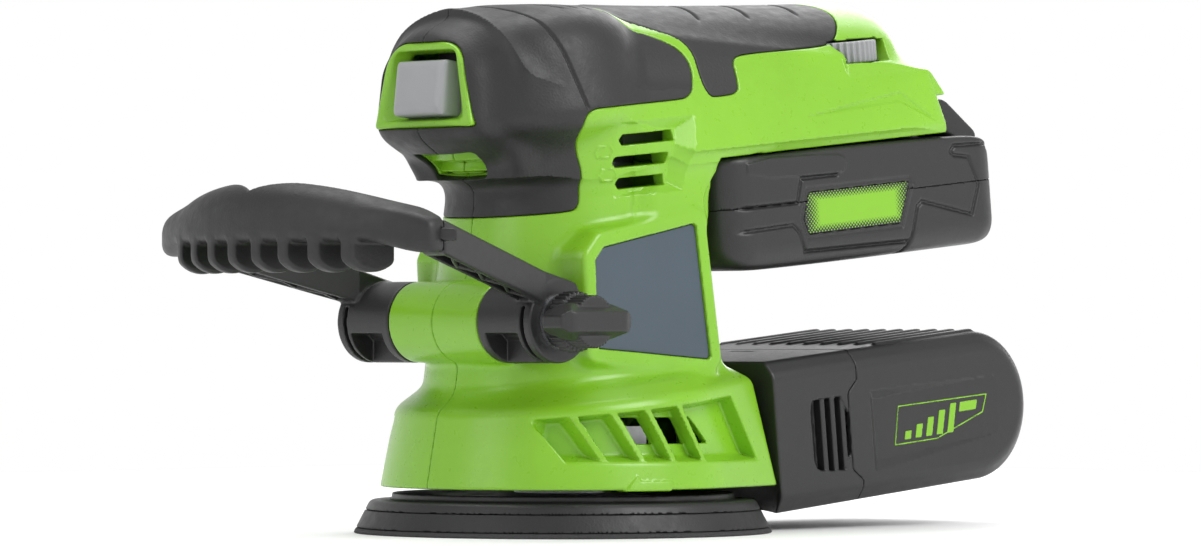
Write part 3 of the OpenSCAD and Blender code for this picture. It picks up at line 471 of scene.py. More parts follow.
class Maker:
    """A Principled material whose detail comes from noise in object space, in metres"""

    def __init__(self, name, colour, roughness, metallic=0.0, **sockets):
        self.material = bpy.data.materials.new(name)
        self.material.use_nodes = True
        self.tree = self.material.node_tree
        self.shader = self.tree.nodes["Principled BSDF"]
        self.shader.inputs["Metallic"].default_value = metallic
        for key, value in sockets.items():
            self.shader.inputs[key.replace("_", " ")].default_value = value
        self.place = self.node("ShaderNodeTexCoord").outputs["Object"]
        self.colour, self.roughness = colour, roughness
        self.height = None

    def node(self, kind, **settings):
        made = self.tree.nodes.new(kind)
        for key, value in settings.items():
            setattr(made, key, value)
        return made

    def feed(self, socket, value):
        if isinstance(value, bpy.types.NodeSocket):
            self.tree.links.new(value, socket)
        elif value is not None:
            socket.default_value = value

    def math(self, operation, a, b=None, c=None):
        made = self.node("ShaderNodeMath", operation=operation)
        for socket, value in zip(made.inputs, (a, b, c)):
            self.feed(socket, value)
        return made.outputs[0]

    def noise(self, scale, detail=2.0, rough=0.5, stretch=None):
        place = self.place
        if stretch:
            mapping = self.node("ShaderNodeMapping")
            mapping.inputs["Scale"].default_value = stretch
            self.tree.links.new(self.place, mapping.inputs["Vector"])
            place = mapping.outputs[0]
        made = self.node("ShaderNodeTexNoise")
        made.inputs["Scale"].default_value = scale
        made.inputs["Detail"].default_value = detail
        made.inputs["Roughness"].default_value = rough
        self.tree.links.new(place, made.inputs["Vector"])
        return made.outputs[0]

    def ramp(self, value, low, high, to_low=0.0, to_high=1.0):
        made = self.node("ShaderNodeMapRange")
        for key, number in zip((1, 2, 3, 4), (low, high, to_low, to_high)):
            made.inputs[key].default_value = number
        self.feed(made.inputs[0], value)
        return made.outputs[0]

    def mix(self, factor, a, b):
        made = self.node("ShaderNodeMix", data_type="RGBA")
        self.feed(made.inputs[0], factor)
        for socket, value in ((made.inputs[6], a), (made.inputs[7], b)):
            self.feed(socket, (*value, 1) if isinstance(value, tuple) else value)
        return made.outputs[2]

    def worn_edges(self, spread):
        """1 along raised edges, 0 on flat faces"""
        return self.ramp(self.node("ShaderNodeNewGeometry").outputs["Pointiness"], 0.52, 0.52 + spread)

    def bump(self, height, distance, strength=1.0):
        made = self.node("ShaderNodeBump")
        made.inputs["Distance"].default_value = distance
        made.inputs["Strength"].default_value = strength
        self.tree.links.new(height, made.inputs["Height"])
        if self.height is not None:
            self.tree.links.new(self.height, made.inputs["Normal"])
        self.height = made.outputs[0]

    def done(self, colour=None, roughness=None):
        self.feed(self.shader.inputs["Base Color"], (*self.colour, 1) if colour is None else colour)
        self.feed(self.shader.inputs["Roughness"], self.roughness if roughness is None else roughness)
        if self.height is not None:
            self.tree.links.new(self.height, self.shader.inputs["Normal"])
        return self.material


def shade(colour, factor):
    return tuple(min(1.0, c * factor) for c in colour)


def moulded(name, colour, roughness, grain=0.00006, grain_scale=1900, wear=0.25, **sockets):
    """Moulded plastic: fine grain, slow colour drift, slightly lighter and smoother edges"""
    m = Maker(name, colour, roughness, **sockets)
    drift = m.ramp(m.noise(28, 3), 0.3, 0.7)
    base = m.mix(drift, shade(colour, 0.94), shade(colour, 1.06))
    rubbed = m.math("MULTIPLY", m.worn_edges(0.06), m.ramp(m.noise(160, 4, 0.65), 0.42, 0.75))
    base = m.mix(m.math("MULTIPLY", rubbed, wear), base, shade(colour, 1.7))
    rough = m.ramp(m.noise(420, 4, 0.6), 0.25, 0.75, roughness - 0.05, roughness + 0.06)
    rough = m.math("SUBTRACT", rough, m.math("MULTIPLY", rubbed, 0.08))
    m.bump(m.noise(grain_scale, 2, 0.6), grain)
    m.bump(m.noise(70, 2), 0.00005)
    return m.done(base, rough)


def rubber_look(name, colour, roughness):
    """Soft overmould: matt pebbled skin with a little dust in it"""
    m = Maker(name, colour, roughness)
    cells = m.node("ShaderNodeTexVoronoi", feature="SMOOTH_F1")
    cells.inputs["Scale"].default_value = 1500
    m.tree.links.new(m.place, cells.inputs["Vector"])
    drift = m.ramp(m.noise(22, 3), 0.3, 0.7)
    base = m.mix(drift, shade(colour, 0.88), shade(colour, 1.12))
    dust = m.math("MULTIPLY", m.ramp(m.noise(900, 3, 0.7), 0.62, 0.8), 0.12)
    base = m.mix(dust, base, shade(colour, 3.0))
    m.bump(cells.outputs["Distance"], 0.00005)
    m.bump(m.noise(60, 2), 0.00006)
    return m.done(base, m.ramp(m.noise(300, 3), 0.3, 0.7, roughness - 0.06, roughness + 0.06))


def metal(name, colour, roughness, lines=(1, 1, 30), scale=220):
    """Turned or drawn metal: fine lines across the stretched axis, and light staining"""
    m = Maker(name, colour, roughness, metallic=1.0)
    brushed = m.noise(scale, 5, 0.65, stretch=lines)
    stain = m.ramp(m.noise(40, 4), 0.45, 0.75)
    base = m.mix(stain, colour, shade(colour, 0.8))
    base = m.mix(m.math("MULTIPLY", m.worn_edges(0.06), 0.5), base, shade(colour, 1.3))
    m.bump(brushed, 0.00003)
    return m.done(base, m.ramp(brushed, 0.2, 0.8, roughness - 0.1, roughness + 0.12))


def fabric_look(name, colour, roughness, scale):
    """Pile or paper: crossed fibres"""
    m = Maker(name, colour, roughness)
    fibres = m.math("ADD", m.noise(scale, 3, 0.7, (1, 6, 1)), m.noise(scale * 1.1, 3, 0.7, (6, 1, 1)))
    base = m.mix(m.ramp(fibres, 0.7, 1.3), shade(colour, 0.6), shade(colour, 1.5))
    m.bump(fibres, 0.0004)
    return m.done(base, roughness)


GREEN = (0.2, 0.46, 0.018)
BLACK = (0.016, 0.016, 0.0165)
looks = {
    "green_shell": moulded("green_shell", GREEN, 0.3, grain=0.00003, wear=0.1,
                           Coat_Weight=0.12, Coat_Roughness=0.2),
    "soft_rubber": rubber_look("soft_rubber", (0.013, 0.013, 0.0135), 0.5),
    "black_plastic": moulded("black_plastic", BLACK, 0.42),
    "dark_plastic": moulded("dark_plastic", (0.024, 0.024, 0.025), 0.38),
    "button_grey": moulded("button_grey", (0.3, 0.305, 0.315), 0.4, wear=0.15),
    "panel_slate": moulded("panel_slate", (0.05, 0.073, 0.096), 0.42, grain=0.00002, wear=0.1),
    "steel": metal("steel", (0.56, 0.57, 0.59), 0.3),
    "motor_steel": metal("motor_steel", (0.4, 0.41, 0.43), 0.38, (30, 30, 1)),
    "ferrite": moulded("ferrite", (0.05, 0.05, 0.052), 0.6),
    "copper": metal("copper", (0.78, 0.35, 0.18), 0.28, (1, 1, 60), 400),
    "brass": metal("brass", (0.78, 0.6, 0.28), 0.3, (20, 1, 20)),
    "zinc": metal("zinc", (0.5, 0.5, 0.52), 0.45, (1, 1, 1), 600),
    "board_green": moulded("board_green", (0.02, 0.15, 0.055), 0.35),
    "wire_red": moulded("wire_red", (0.5, 0.035, 0.025), 0.4),
    "foam": rubber_look("foam", (0.014, 0.014, 0.0145), 0.5),
    "hook_fabric": fabric_look("hook_fabric", (0.06, 0.06, 0.062), 0.9, 2600),
    "filter_paper": fabric_look("filter_paper", (0.72, 0.7, 0.64), 0.85, 1200),
    "cell_wrap": moulded("cell_wrap", (0.04, 0.22, 0.5), 0.3),
    "carbon": moulded("carbon", (0.02, 0.02, 0.021), 0.5),
    "label_green": moulded("label_green", GREEN, 0.35, grain=0.00001),
}


def battery_label_look():
    """Printed film on the battery: a green glow that breaks up into dots towards its long edges"""
    m = Maker("battery_label", GREEN, 0.38)
    split = m.node("ShaderNodeSeparateXYZ")
    m.tree.links.new(m.place, split.inputs[0])
    x, z = split.outputs[0], split.outputs[2]
    p = m.math("ADD", m.math("MULTIPLY", x, COS), m.math("MULTIPLY", z, SIN))
    q = m.math("SUBTRACT", m.math("MULTIPLY", z, COS), m.math("MULTIPLY", x, SIN))
    row = m.math("MULTIPLY", m.math("ADD", p, q), math.pi / 0.0013)
    column_wave = m.math("MULTIPLY", m.math("SUBTRACT", p, q), math.pi / 0.0013)
    dots = m.math("MULTIPLY", m.math("SINE", row), m.math("SINE", column_wave))
    height = m.math("ABSOLUTE", m.math("SUBTRACT", q, 0.0883))
    reach = m.math("ABSOLUTE", m.math("SUBTRACT", p, 0.0965))
    far = m.math("MAXIMUM", m.ramp(height, 0.0003, 0.0068), m.ramp(reach, 0.009, 0.0235))
    threshold = m.math("MULTIPLY_ADD", far, 2.2, -1.15)
    lit = m.ramp(m.math("SUBTRACT", m.math("ABSOLUTE", dots), threshold), -0.05, 0.05)
    return m.done(m.mix(lit, BLACK, GREEN))


looks["battery_label"] = battery_label_look()

HOUSING_GAP = 0.06
HOUSING_WALL = 4.0
RUBBER = 1.6
RECESS_DEPTH = 5.2
BAY_FRONT, BAY_HALF, BAY_ROOF = 39.6, 33.4, 107.9
DUCT_Q = 22.0
FRONT_PLANE = ((-40.5, 149.8), (-44.0, 123.9))


def front_plane(p, q):
    """Distance in front of the flat face that carries the trigger bezel"""
    return line(p, q, *FRONT_PLANE)


def smoothed(points, times=2):
    """Closed outline with its corners cut into curves"""
    for _ in range(times):
        ends = zip(points, points[1:] + points[:1])
        points = [(a[0] + (b[0] - a[0]) * t, a[1] + (b[1] - a[1]) * t) for a, b in ends for t in (0.25, 0.75)]
    return points


def dent(distance, depth, width):
    """Soft groove, or a bead when depth is negative"""
    return depth * np.exp(-(distance / width) ** 2)


def path(a, b, points):
    """Distance from an open line through the points"""
    best = np.full(np.shape(a), 1e6)
    for (ax, ay), (bx, by) in zip(points, points[1:]):
        ex, ey = bx - ax, by - ay
        t = np.clip(((a - ax) * ex + (b - ay) * ey) / (ex * ex + ey * ey), 0, 1)
        best = np.minimum(best, np.hypot(a - ax - ex * t, b - ay - ey * t))
    return best


def fade(value, low, high):
    t = np.clip((value - low) / (high - low), 0, 1)
    return t * t * (3 - 2 * t)


# Housing and its rubber ----------------------------------------------------------

HEAD_EDGE = Stencil(smoothed([
    (-90, 96.4), (-40, 96.4), (-14.5, 96.2), (-9.8, 97.2), (-9.2, 107), (-10.5, 112.5), (-14.4, 120.5),
    (-13.6, 126.1), (-4, 126.3), (24, 126.2), (30, 126.6), (35, 132), (35.5, 139.5), (28, 145.4), (18, 151.2),
    (8, 156), (0, 162), (0, 190), (-90, 190)]))
GRIP_EDGE = Stencil(smoothed([
    (-2, 164), (8, 158.6), (21, 153.4), (32.5, 147.6), (38.8, 141.5), (37.2, 132), (38.6, 126.2), (43, 125.9),
    (51.2, 126.3), (52.4, 130.5), (53.2, 136.6), (60, 137.7), (92, 137.4), (101, 138.4), (111, 144.6),
    (115, 150), (116, 157), (116, 190), (-2, 190)]))
GRIP_GROOVES = (58.6, 79.9, 101.3)
HEAD_GROOVES = (-12.0, -7.0, -2.0, 6.0, 12.0)
ARC_BEND = 0.0137
VENT_ROWS = ((116.2, 1.5, 22.0), (109.8, -0.5, 19.5), (103.4, 1.0, 19.0))
VENT_HALF = 1.6
HEX_MARKS = ((-3.2, 113.1), (-2.0, 106.3))
FLANK_MARK = Stencil([(77.1, 117.5), (119.2, 121.9), (132.6, 112.2), (117.9, 119.0)])
ARROW_MARK = Stencil([(-22, 13.2), (-17.6, 18.2), (-17, 16.4), (-6.8, 16.4), (-7.1, 13.2)])
DIAL_WINDOW = Stencil([(99.3, 131.9), (120.4, 131.7), (124.5, 138.4), (103.6, 138.4)])
DIAL = (109.0, -21.5, 131.8)
DIAL_R = 12.3
SKIRT_RECESS = Stencil([(-41, 34.2), (-35.2, 21.9), (41.1, 21.7), (29.9, 40.8), (4, 38.6)])
SKIRT_OPENING = Stencil([(-17, 34.7), (-13, 27), (18.3, 27), (9.7, 34.7)])
SKIRT_RIBS = (((-31.8, 35.6), (-25.7, 22.2)), ((-21.7, 36.9), (-14.7, 22.2)), ((-11.4, 38.1), (-4.1, 22.2)),
              ((0.5, 38.9), (8.4, 22.2)))
UPRIGHT_SCREWS = ((-45.2, 27.5), (27.6, 62.0), (-28.5, 84.0))
TILTED_SCREWS = ((2.0, 151.8), (38.0, 128.0), (66.0, 145.5), (127.0, 132.0))
SCREW_FACE = 11.0
FRONT_PLUG = 14.8
BAY_SIDE = Stencil(smoothed([(54, 108.2), (42, 106), (36.5, 101), (33, 96.5), (33.4, 92), (37, 86), (60, 86),
                             (60, 108.2)]))


BEZEL_SIDE = ((21.4, 124.1), (15.6, 149.1))


def bezel_mouth(a, q):
    """Trapezoid that the trigger bezel fills, seen from the front"""
    return meet(9.0, meet(1.5, line(a, q, *BEZEL_SIDE), 124.1 - q), q - 149.1)


def front_block(p, a, q):
    side = line(a, q, (22.1, 123.9), (19.4, 149.8))
    low = 0.5 * (-p - 44) + 0.866 * (122.2 - q)
    return meet(6, front_plane(p, q) - 0.4, side, q - 151.5 + 0.02 * a * a, low, p + 24)


def vent_recess(p, q, form):
    """Sunk side field: the floor falls away to the rear and ends in a slanted wall"""
    edge = 24.4 + (q - 99.3) * 0.2625
    depth = np.minimum(0.12 * p, 0.45 * (edge - p))
    inside = meet(0, np.abs(q - 110.5) - 10.9, -p)
    depth = np.minimum(depth, -inside * 0.8)
    return np.maximum(depth, 0) * (form < 4)


def skirt_recess(x, y, z):
    """Sunk vent of the skirt, its ribs left standing"""
    edge = SKIRT_RECESS(x, z)
    ribs = [path(x, z, rib) - 0.9 for rib in SKIRT_RIBS]
    well = meet(1.0, 0.8 * edge + 0.25 * (-skirt(x, y, z)), 30 - np.abs(y))
    return cut(well, meet(0, join(0, *ribs), skirt(x, y, z) + 0.5), 0.6), edge


def scoop_mouth(p, a, q):
    lean_q = q - 0.35 * (p + 31)
    return meet(2.0, a - 11 - 0.29 * (q - 108.8), np.abs(lean_q - 112.8) - 5.4, p + 18)


def over_top(p, a, q):
    """Height that the rubber's outline is read at: over the top it is that of the surface below"""
    surface_q = 158.1 - 0.083 * p - 0.0005 * a ** 3
    return q + (surface_q - q) * fade(-a, -29, -24) * fade(q, 132, 142)


def outside(x, y, z):
    """Outer face of the housing with its grooves, and the mark fields on the flank"""
    p, a, q = folded(x, y, z)
    form = join(5, housing_form(x, y, z), front_block(p, a, q))
    form = form + vent_recess(p, q, form)
    top = fade(q, 146, 149)
    two_arcs = top * fade(a, 5, 8) * fade(-a, -24, -21)
    for at in HEAD_GROOVES:
        form = form + two_arcs * dent((p - at - ARC_BEND * a * a) * 0.9, 0.7, 0.6)
    for at in GRIP_GROOVES:
        form = form + top * dent(p - at + ARC_BEND * a * a, 0.8, 0.65) * fade(-a, -20, -16)
    seam = p + 13.3 + 0.22 * (q - 126.5)
    form = form + dent(seam, 0.6, 0.45) * fade(q, 125.5, 127.5)
    flank = FLANK_MARK(p, q)
    form = form + 0.5 * fade(-flank, -0.4, 0.4) * (a > 30)
    for mark_p, mark_q in HEX_MARKS:
        rise = np.abs(q - mark_q)
        mark = np.maximum(rise - 1.7, 0.5 * rise + 0.87 * np.abs(p - mark_p) - 2.4)
        form = form - dent(mark, 0.22, 0.3) * (a > 25)
    arrow = ARROW_MARK(x, z)
    return form - 0.4 * fade(-arrow, -0.3, 0.3) * (a > 40)


def openings(x, y, z, p, a, q):
    """Slots, windows and bores common to the shells and the rubber"""
    slots = [meet(0.4, np.abs(q - row) - VENT_HALF, 0.55 * np.abs(q - row) + 0.835 * (left - p), p - right)
             for row, left, right in VENT_ROWS]
    vents = meet(0, join(0, *slots), 22 - a)
    bezel = meet(0, bezel_mouth(a, q), p + 26)
    window = meet(0.6, DIAL_WINDOW(p, q), y + 20)
    disc = meet(0.5, np.hypot(p - DIAL[0], y - DIAL[1]) - DIAL_R - 0.8, slab(q, DIAL[2] - 0.5, DIAL[2] + 7.1))
    front, *others = [np.hypot(x - sx, z - sz) for sx, sz in UPRIGHT_SCREWS]
    others += [np.hypot(p - sp, q - sq) for sp, sq in TILTED_SCREWS]
    bore = join(0, front, *others)
    # the front screw is closed by a plug that is flush with the skirt
    heads = join(0, meet(0.3, join(0, *others) - 3.7, SCREW_FACE - y),
                 meet(0.3, front - 3.6, slab(y, SCREW_FACE, FRONT_PLUG)))
    shafts = meet(0, bore - 1.75, y - 14, -12 - y)
    return join(0, vents, bezel, window, disc, heads, shafts), bore


def shell_wall(x, y, z, a, form):
    """The shells' wall, with the sunk vent of the skirt"""
    recess, edge = skirt_recess(x, y, z)
    depth = -skirt(x, y, z)
    outer = cut(form, meet(0.8, recess, depth - RECESS_DEPTH), 0.8)
    inner = meet(1.0, form + HOUSING_WALL, -meet(0, edge - 2.0, depth - 7.6))
    foot = join(0, meet(0, np.hypot(x, y) - 50.6, z - 20), meet(0, a - 37, slab(x, 0, 48), z - 20))
    return cut(outer, join(0.5, inner, foot), 0.6)


def inner_parts(x, y, z, p, a, q, form, bore):
    """Screw bosses, motor ribs, hinge tube, dust nozzle and the walls of the battery bay"""
    bosses = meet(0, bore - 5.2, form + 1.5, a - 22)
    ribs = meet(0, np.minimum(slab(z, 58, 61), slab(z, 98, 101)), 21 - np.hypot(x, y), column(x, a, z) + 2)
    tube = meet(0.8, from_hinge(x, z) - TUBE_R, a - TUBE_HALF)
    nozzle = meet(0.6, np.hypot(y, q - DUCT_Q) - 13, slab(p, 38, 60))
    roof = meet(0, a - 25, slab(p, 36, 150), slab(q, 105, 120), form + 0.4)
    bay_wall = meet(0, slab(p, 30, BAY_FRONT), a - BAY_HALF, slab(q, 84, 108), form + 0.6)
    return bosses, ribs, tube, nozzle, roof, bay_wall


def rooms(x, y, z, p, a, q):
    """Hollows of the shells: fan and motor, battery bay and rail channel, hinge, duct and label pocket"""
    r = np.hypot(x, y)
    # the steep slope above z = 44 ends the fan's room there
    fan_room = r - 38 + np.maximum(z - 44, 0) * 100
    motor_room = meet(0, r - 21, slab(z, 44, 119))
    bay = meet(0.8, slab(q, 60, BAY_ROOF), BAY_FRONT - p)
    bay_side = meet(0.8, BAY_SIDE(p, q), BAY_HALF - a)
    channel = meet(0.5, a - 22.5, slab(q, 100, 117.6), BAY_FRONT - p)
    knuckles = meet(0.4, from_hinge(x, z) - 12.5, TUBE_HALF - a)
    bolt = from_hinge(x, z) - 4.3
    duct = meet(0, np.hypot(y, q - DUCT_Q) - 11, slab(p, 30, 70))
    pocket = meet(0.3, label_edge(x, z) - 0.05, 35.2 - a)
    return fan_room, motor_room, bay, bay_side, channel, knuckles, bolt, duct, pocket


def skirt_opening(x, y, z, a):
    """Opening through the back of the sunk vent, between its ribs"""
    form = skirt(x, y, z)
    ribs = join(0, *[path(x, z, rib) - 0.9 for rib in SKIRT_RIBS])
    hole = meet(0.6, SKIRT_OPENING(x, z), 30 - a, form + 4.6)
    return cut(hole, meet(0, ribs, -(form + 6.4)), 0.5)


def scoop(p, a, q, form):
    """Mouth under the trigger with its stepped floor"""
    steps = (q - 107) / 3.4 % 1
    floor = form + 1.8 + 2.4 * np.minimum(steps, 5 * (1 - steps))
    return 0.4 * meet(0, scoop_mouth(p, a, q) + 0.6, -floor)


def housing_shell(x, y, z):
    p, a, q = folded(x, y, z)
    form = outside(x, y, z)
    opening, bore = openings(x, y, z, p, a, q)
    shell = join(0.4, shell_wall(x, y, z, a, form), *inner_parts(x, y, z, p, a, q, form, bore))
    height = over_top(p, a, q)
    rubber_bed = meet(0, join(0, HEAD_EDGE(p, height), GRIP_EDGE(p, height)), -(form + RUBBER))
    gone = join(0, *rooms(x, y, z, p, a, q), skirt_opening(x, y, z, a), scoop(p, a, q, form))
    return cut(shell, join(0, gone, rubber_bed, opening), 0.35)


def rubber_skin(edge):
    def field(x, y, z):
        p, a, q = folded(x, y, z)
        form = outside(x, y, z)
        skin = meet(0.7, form, edge(p, over_top(p, a, q)) + 0.12)
        opening = openings(x, y, z, p, a, q)[0]
        gone = join(0, opening, scoop_mouth(p, a, q), from_hinge(x, z) - 12.6)
        return meet(0, cut(skin, gone, 0.6), -(form + RUBBER - 0.03))
    return field


def half(field, side):
    return lambda x, y, z: meet(0.3, field(x, y, z), HOUSING_GAP - side * y)


def label_panel(x, y, z):
    return meet(0.3, label_edge(x, z) + 0.12, slab(np.abs(y), 35.25, 36.3))


SIDES = ((-1, "left"), (1, "right"))
for side, hand in SIDES:
    piece("shell_" + hand, half(housing_shell, side), 0.62, "tool", "green_shell", "housing_" + hand)
    piece("head_rubber_" + hand, half(rubber_skin(HEAD_EDGE), side), 0.5, "tool", "soft_rubber",
          "head_overmould_" + hand, 10)
    piece("grip_rubber_" + hand, half(rubber_skin(GRIP_EDGE), side), 0.5, "tool", "soft_rubber",
          "rear_grip_" + hand, 30)
for side, hand in SIDES:
    piece("panel_" + hand, half(label_panel, side), 0.5, "tool", "panel_slate", "label_panel_" + hand)

# Trigger and dial -----------------------------------------------------------------

BUTTON_HALF, BUTTON_RISE = 10.8, 8.1
BUTTON_PLACE = (-43.4, 136.0)
BUTTON_LEAN = math.radians(12.4)


def trigger_bezel(x, y, z):
    p, a, q = folded(x, y, z)
    depth = -front_plane(p, q)
    plate = meet(0.9, bezel_mouth(a, q) + 0.12, 0.1 - depth, depth - 6.5)
    # funnel from a narrow rim down to the button
    t = np.clip(1 - depth / 5.0, 0, 1)
    side = (1 - t) * (a - BUTTON_HALF - 0.7) + t * (line(a, q, *BEZEL_SIDE) + 2.6)
    top = q - 145.4 - 1.4 * t
    low = 126.9 - q - 0.6 * t
    return cut(plate, 0.75 * meet(2.5, side, top, low), 0.7)


def trigger_button(x, y, z):
    p, a, q = folded(x, y, z)
    dp, dq = p - BUTTON_PLACE[0], q - BUTTON_PLACE[1]
    c, s = math.cos(BUTTON_LEAN), math.sin(BUTTON_LEAN)
    u, v = dp * c - dq * s, dp * s + dq * c
    rise = np.abs(v)
    bevel_side = 0.6 * (a - BUTTON_HALF) + 0.8 * (-u - 0.2)
    bevel_top = 0.6 * (rise - BUTTON_RISE) + 0.8 * (-u - 0.2)
    block = meet(1.0, a - BUTTON_HALF, rise - BUTTON_RISE, slab(u, -1.5, 9), bevel_side, bevel_top)
    stem = meet(0.3, np.hypot(y, v) - 3, slab(u, 2, 12.2))
    return join(0.5, cut(block, meet(0.5, a - 7.8, rise - 5.1, 3.5 - u), 0.3), stem)


def speed_dial(x, y, z):
    p, q = lean(x, z)
    dp, dy = p - DIAL[0], y - DIAL[1]
    r = np.hypot(dp, dy)
    teeth = 0.42 * np.cos(36 * np.arctan2(dy, dp))
    wheel = meet(0.6, 0.8 * (r - DIAL_R + 0.42 - teeth), slab(q, DIAL[2], DIAL[2] + 6.6))
    wheel = cut(wheel, meet(0.5, r - 8, DIAL[2] + 5.4 - q), 0.4)
    wheel = join(0.3, wheel, meet(0.2, r - 4, slab(q, DIAL[2] - 2.5, DIAL[2] + 1)))
    return cut(wheel, meet(0, r - 3.05, q - DIAL[2] - 4), 0.1)


piece("bezel", trigger_bezel, 0.4, "tool", "green_shell", "trigger_bezel", 4)
piece("button", trigger_button, 0.4, "trigger", "button_grey", "trigger_button")
piece("dial_wheel", speed_dial, 0.3, "dial", "button_grey", "speed_dial")

# Pad -----------------------------------------------------------------------------

ORBIT = (1.2 * math.cos(math.radians(45)), 1.2 * math.sin(math.radians(45)))
PAD_R, PAD_TOP_R, PAD_H = 62.5, 57.4, 10.0
PLATE_R, PLATE_TOP = 51.0, 12.0
HOOK_TOP, FOAM_TOP = 1.5, 6.8
DUST_RING, DUST_HOLE, DUST_HOLES = 32.5, 4.5, 8
SCREW_RING, SCREW_COUNT = 11.0, 3


def ring_of(x, y, radius, count):
    """Distance from the nearest of the points spread round a circle"""
    r, angle = np.hypot(x, y), np.arctan2(y, x)
    step = 2 * math.pi / count
    angle = (angle + step / 2) % step - step / 2
    return np.hypot(r * np.cos(angle) - radius, r * np.sin(angle))


def pad_layer(low, high, screw_hole, crease):
    def field(x, y, z):
        x, y = x - ORBIT[0], y - ORBIT[1]
        r = np.hypot(x, y)
        slope = (PAD_R - PAD_TOP_R) / PAD_H
        side = (r - PAD_R + slope * z) / math.hypot(1, slope)
        body = np.maximum(meet(crease, side, z - high), low - z)
        if high == PAD_H:
            body = join(1.2, body, meet(0.6, r - PLATE_R, slab(z, PAD_H - 1, PLATE_TOP)))
        return cut(body, join(0, ring_of(x, y, DUST_RING, DUST_HOLES) - DUST_HOLE,
                              ring_of(x, y, SCREW_RING, SCREW_COUNT) - screw_hole), 0.5)
    return field


def pad_plate(x, y, z):
    body = pad_layer(FOAM_TOP, PAD_H, 1.8, 1.4)(x, y, z)
    return cut(body, meet(0, ring_of(x - ORBIT[0], y - ORBIT[1], SCREW_RING, SCREW_COUNT) - 3.6, z - 9.2))


piece("backing_plate", pad_plate, 0.7, "pad", "black_plastic", "pad_plate")
cushion = piece("pad_cushion", pad_layer(HOOK_TOP, FOAM_TOP, 3.9, 0.0), 0.7, "pad", "foam", "pad_foam")
piece("hook_face", pad_layer(0.0, HOOK_TOP, 3.9, 0.0), 0.6, "pad", "hook_fabric", "pad_hook_face")


def fan_shroud(x, y, z):
    plate = meet(0.3, np.hypot(x, y) - 34.5, slab(z, 46.5, 49.9))
    return cut(plate, join(0, np.hypot(x, y) - 8.6, ring_of(x, y, 26.0, 6) - 3.2), 0.3)


piece("fan_cover", fan_shroud, 0.8, "tool", "dark_plastic", "fan_shroud")

# Dust box --------------------------------------------------------------------------

BOX_MID, BOX_R, BOX_END, BOX_HALF = 22.5, 23.0, 145.0, 38.5
SEAM_P, SEAM_BULGE = 90.4, 4.2
GRIP_POCKET = Stencil(smoothed([(69.8, 20), (69.6, 31.6), (73, 32.1), (86, 31.9), (86, 9.5), (73.5, 10.2),
                                (69.8, 12)], 1))
POCKET_RIBS = (75.2, 79.5, 83.8)
SIDE_PANEL = Stencil([(95.5, 7.6), (152, 13.4), (152, 31.4), (95.5, 32.4)])
TOP_RIBS, RIB_PITCH, RIB_START = 10, 7.35, 104.0
BADGE = Stencil([(106.1, 14), (108.7, 26.6), (148, 26.3), (145.5, 20.1), (124.9, 14)])
BADGE_BARS = 5
PAD_ROOM, PAD_ROOM_TOP = PAD_R + 2.6, 14.4


def box_form(p, a, q, inset=0.0):
    end = np.hypot(np.maximum(p - BOX_END, 0), q - BOX_MID)
    profile = end - BOX_R + inset
    return meet(1.2, profile, 0.614 * profile + 0.789 * (a - 35 + inset), a - BOX_HALF + inset)


def panel_depth(p, q):
    return np.clip(np.minimum(-0.7 * SIDE_PANEL(p, q), 1.9 * (1 - (p - 99) / 53)), 0, 2)


def seam_side(p, q):
    """Positive behind the seam between the cap and the shell of the dust box"""
    return 0.85 * (p - SEAM_P + SEAM_BULGE * fade(q, 5, 10) * fade(-q, -37, -32))


def dust_shell(x, y, z):
    p, a, q = folded(x, y, z)
    form = box_form(p, a, q)
    ribs = [np.abs(y - (i - (TOP_RIBS - 1) / 2) * RIB_PITCH) - 0.9 for i in range(TOP_RIBS)]
    ribs = meet(0.8, join(0, *ribs), slab(p, RIB_START, BOX_END + 3), form - 0.8, 40 - q)
    form = form + panel_depth(p, q) * (a > 30)
    body = join(0.8, form, ribs)
    body = meet(0.3, body, 0.05 - seam_side(p, q))
    return cut(body, box_form(p, a, q, 2.0) + 0.6 * fade(p, 92, 96), 0.3)


def dust_cap(x, y, z):
    p, a, q = folded(x, y, z)
    front = np.maximum(line(p, q, (51.4, 60), (55.4, -20)), 54.6 - p)
    body = meet(0.3, meet(0.8, box_form(p, a, q), front), seam_side(p, q) + 0.05)
    pocket = GRIP_POCKET(p, q)
    well = meet(0.8, pocket, 35.0 - a)
    bars = meet(0.6, join(0, *[np.abs(p - at) - 1.0 for at in POCKET_RIBS]), a - BOX_HALF + 0.4)
    r = np.hypot(x, y)
    room = meet(0.3, box_form(p, a, q, 2.0), 56.6 - p, -meet(0, r - PAD_ROOM - 2, z - PAD_ROOM_TOP - 2),
                -meet(0, pocket - 1.8, 33 - a))
    socket = meet(0.5, np.hypot(y, q - DUCT_Q) - 15.2, slab(p, 54.6, 63.6))
    mark = meet(0.2, slab(p, 84.2, 85.3), slab(y, -0.5, 9.6), 45 - q)
    body = join(0.5, cut(body, room, 0.3), meet(0, socket, front))
    gone = join(0, cut(well, bars, 0.3), np.hypot(y, q - DUCT_Q) - 13.1 + 100 * np.maximum(p - 66, 0), mark,
                meet(0.5, r - PAD_ROOM, z - PAD_ROOM_TOP))
    return cut(body, gone, 0.5)


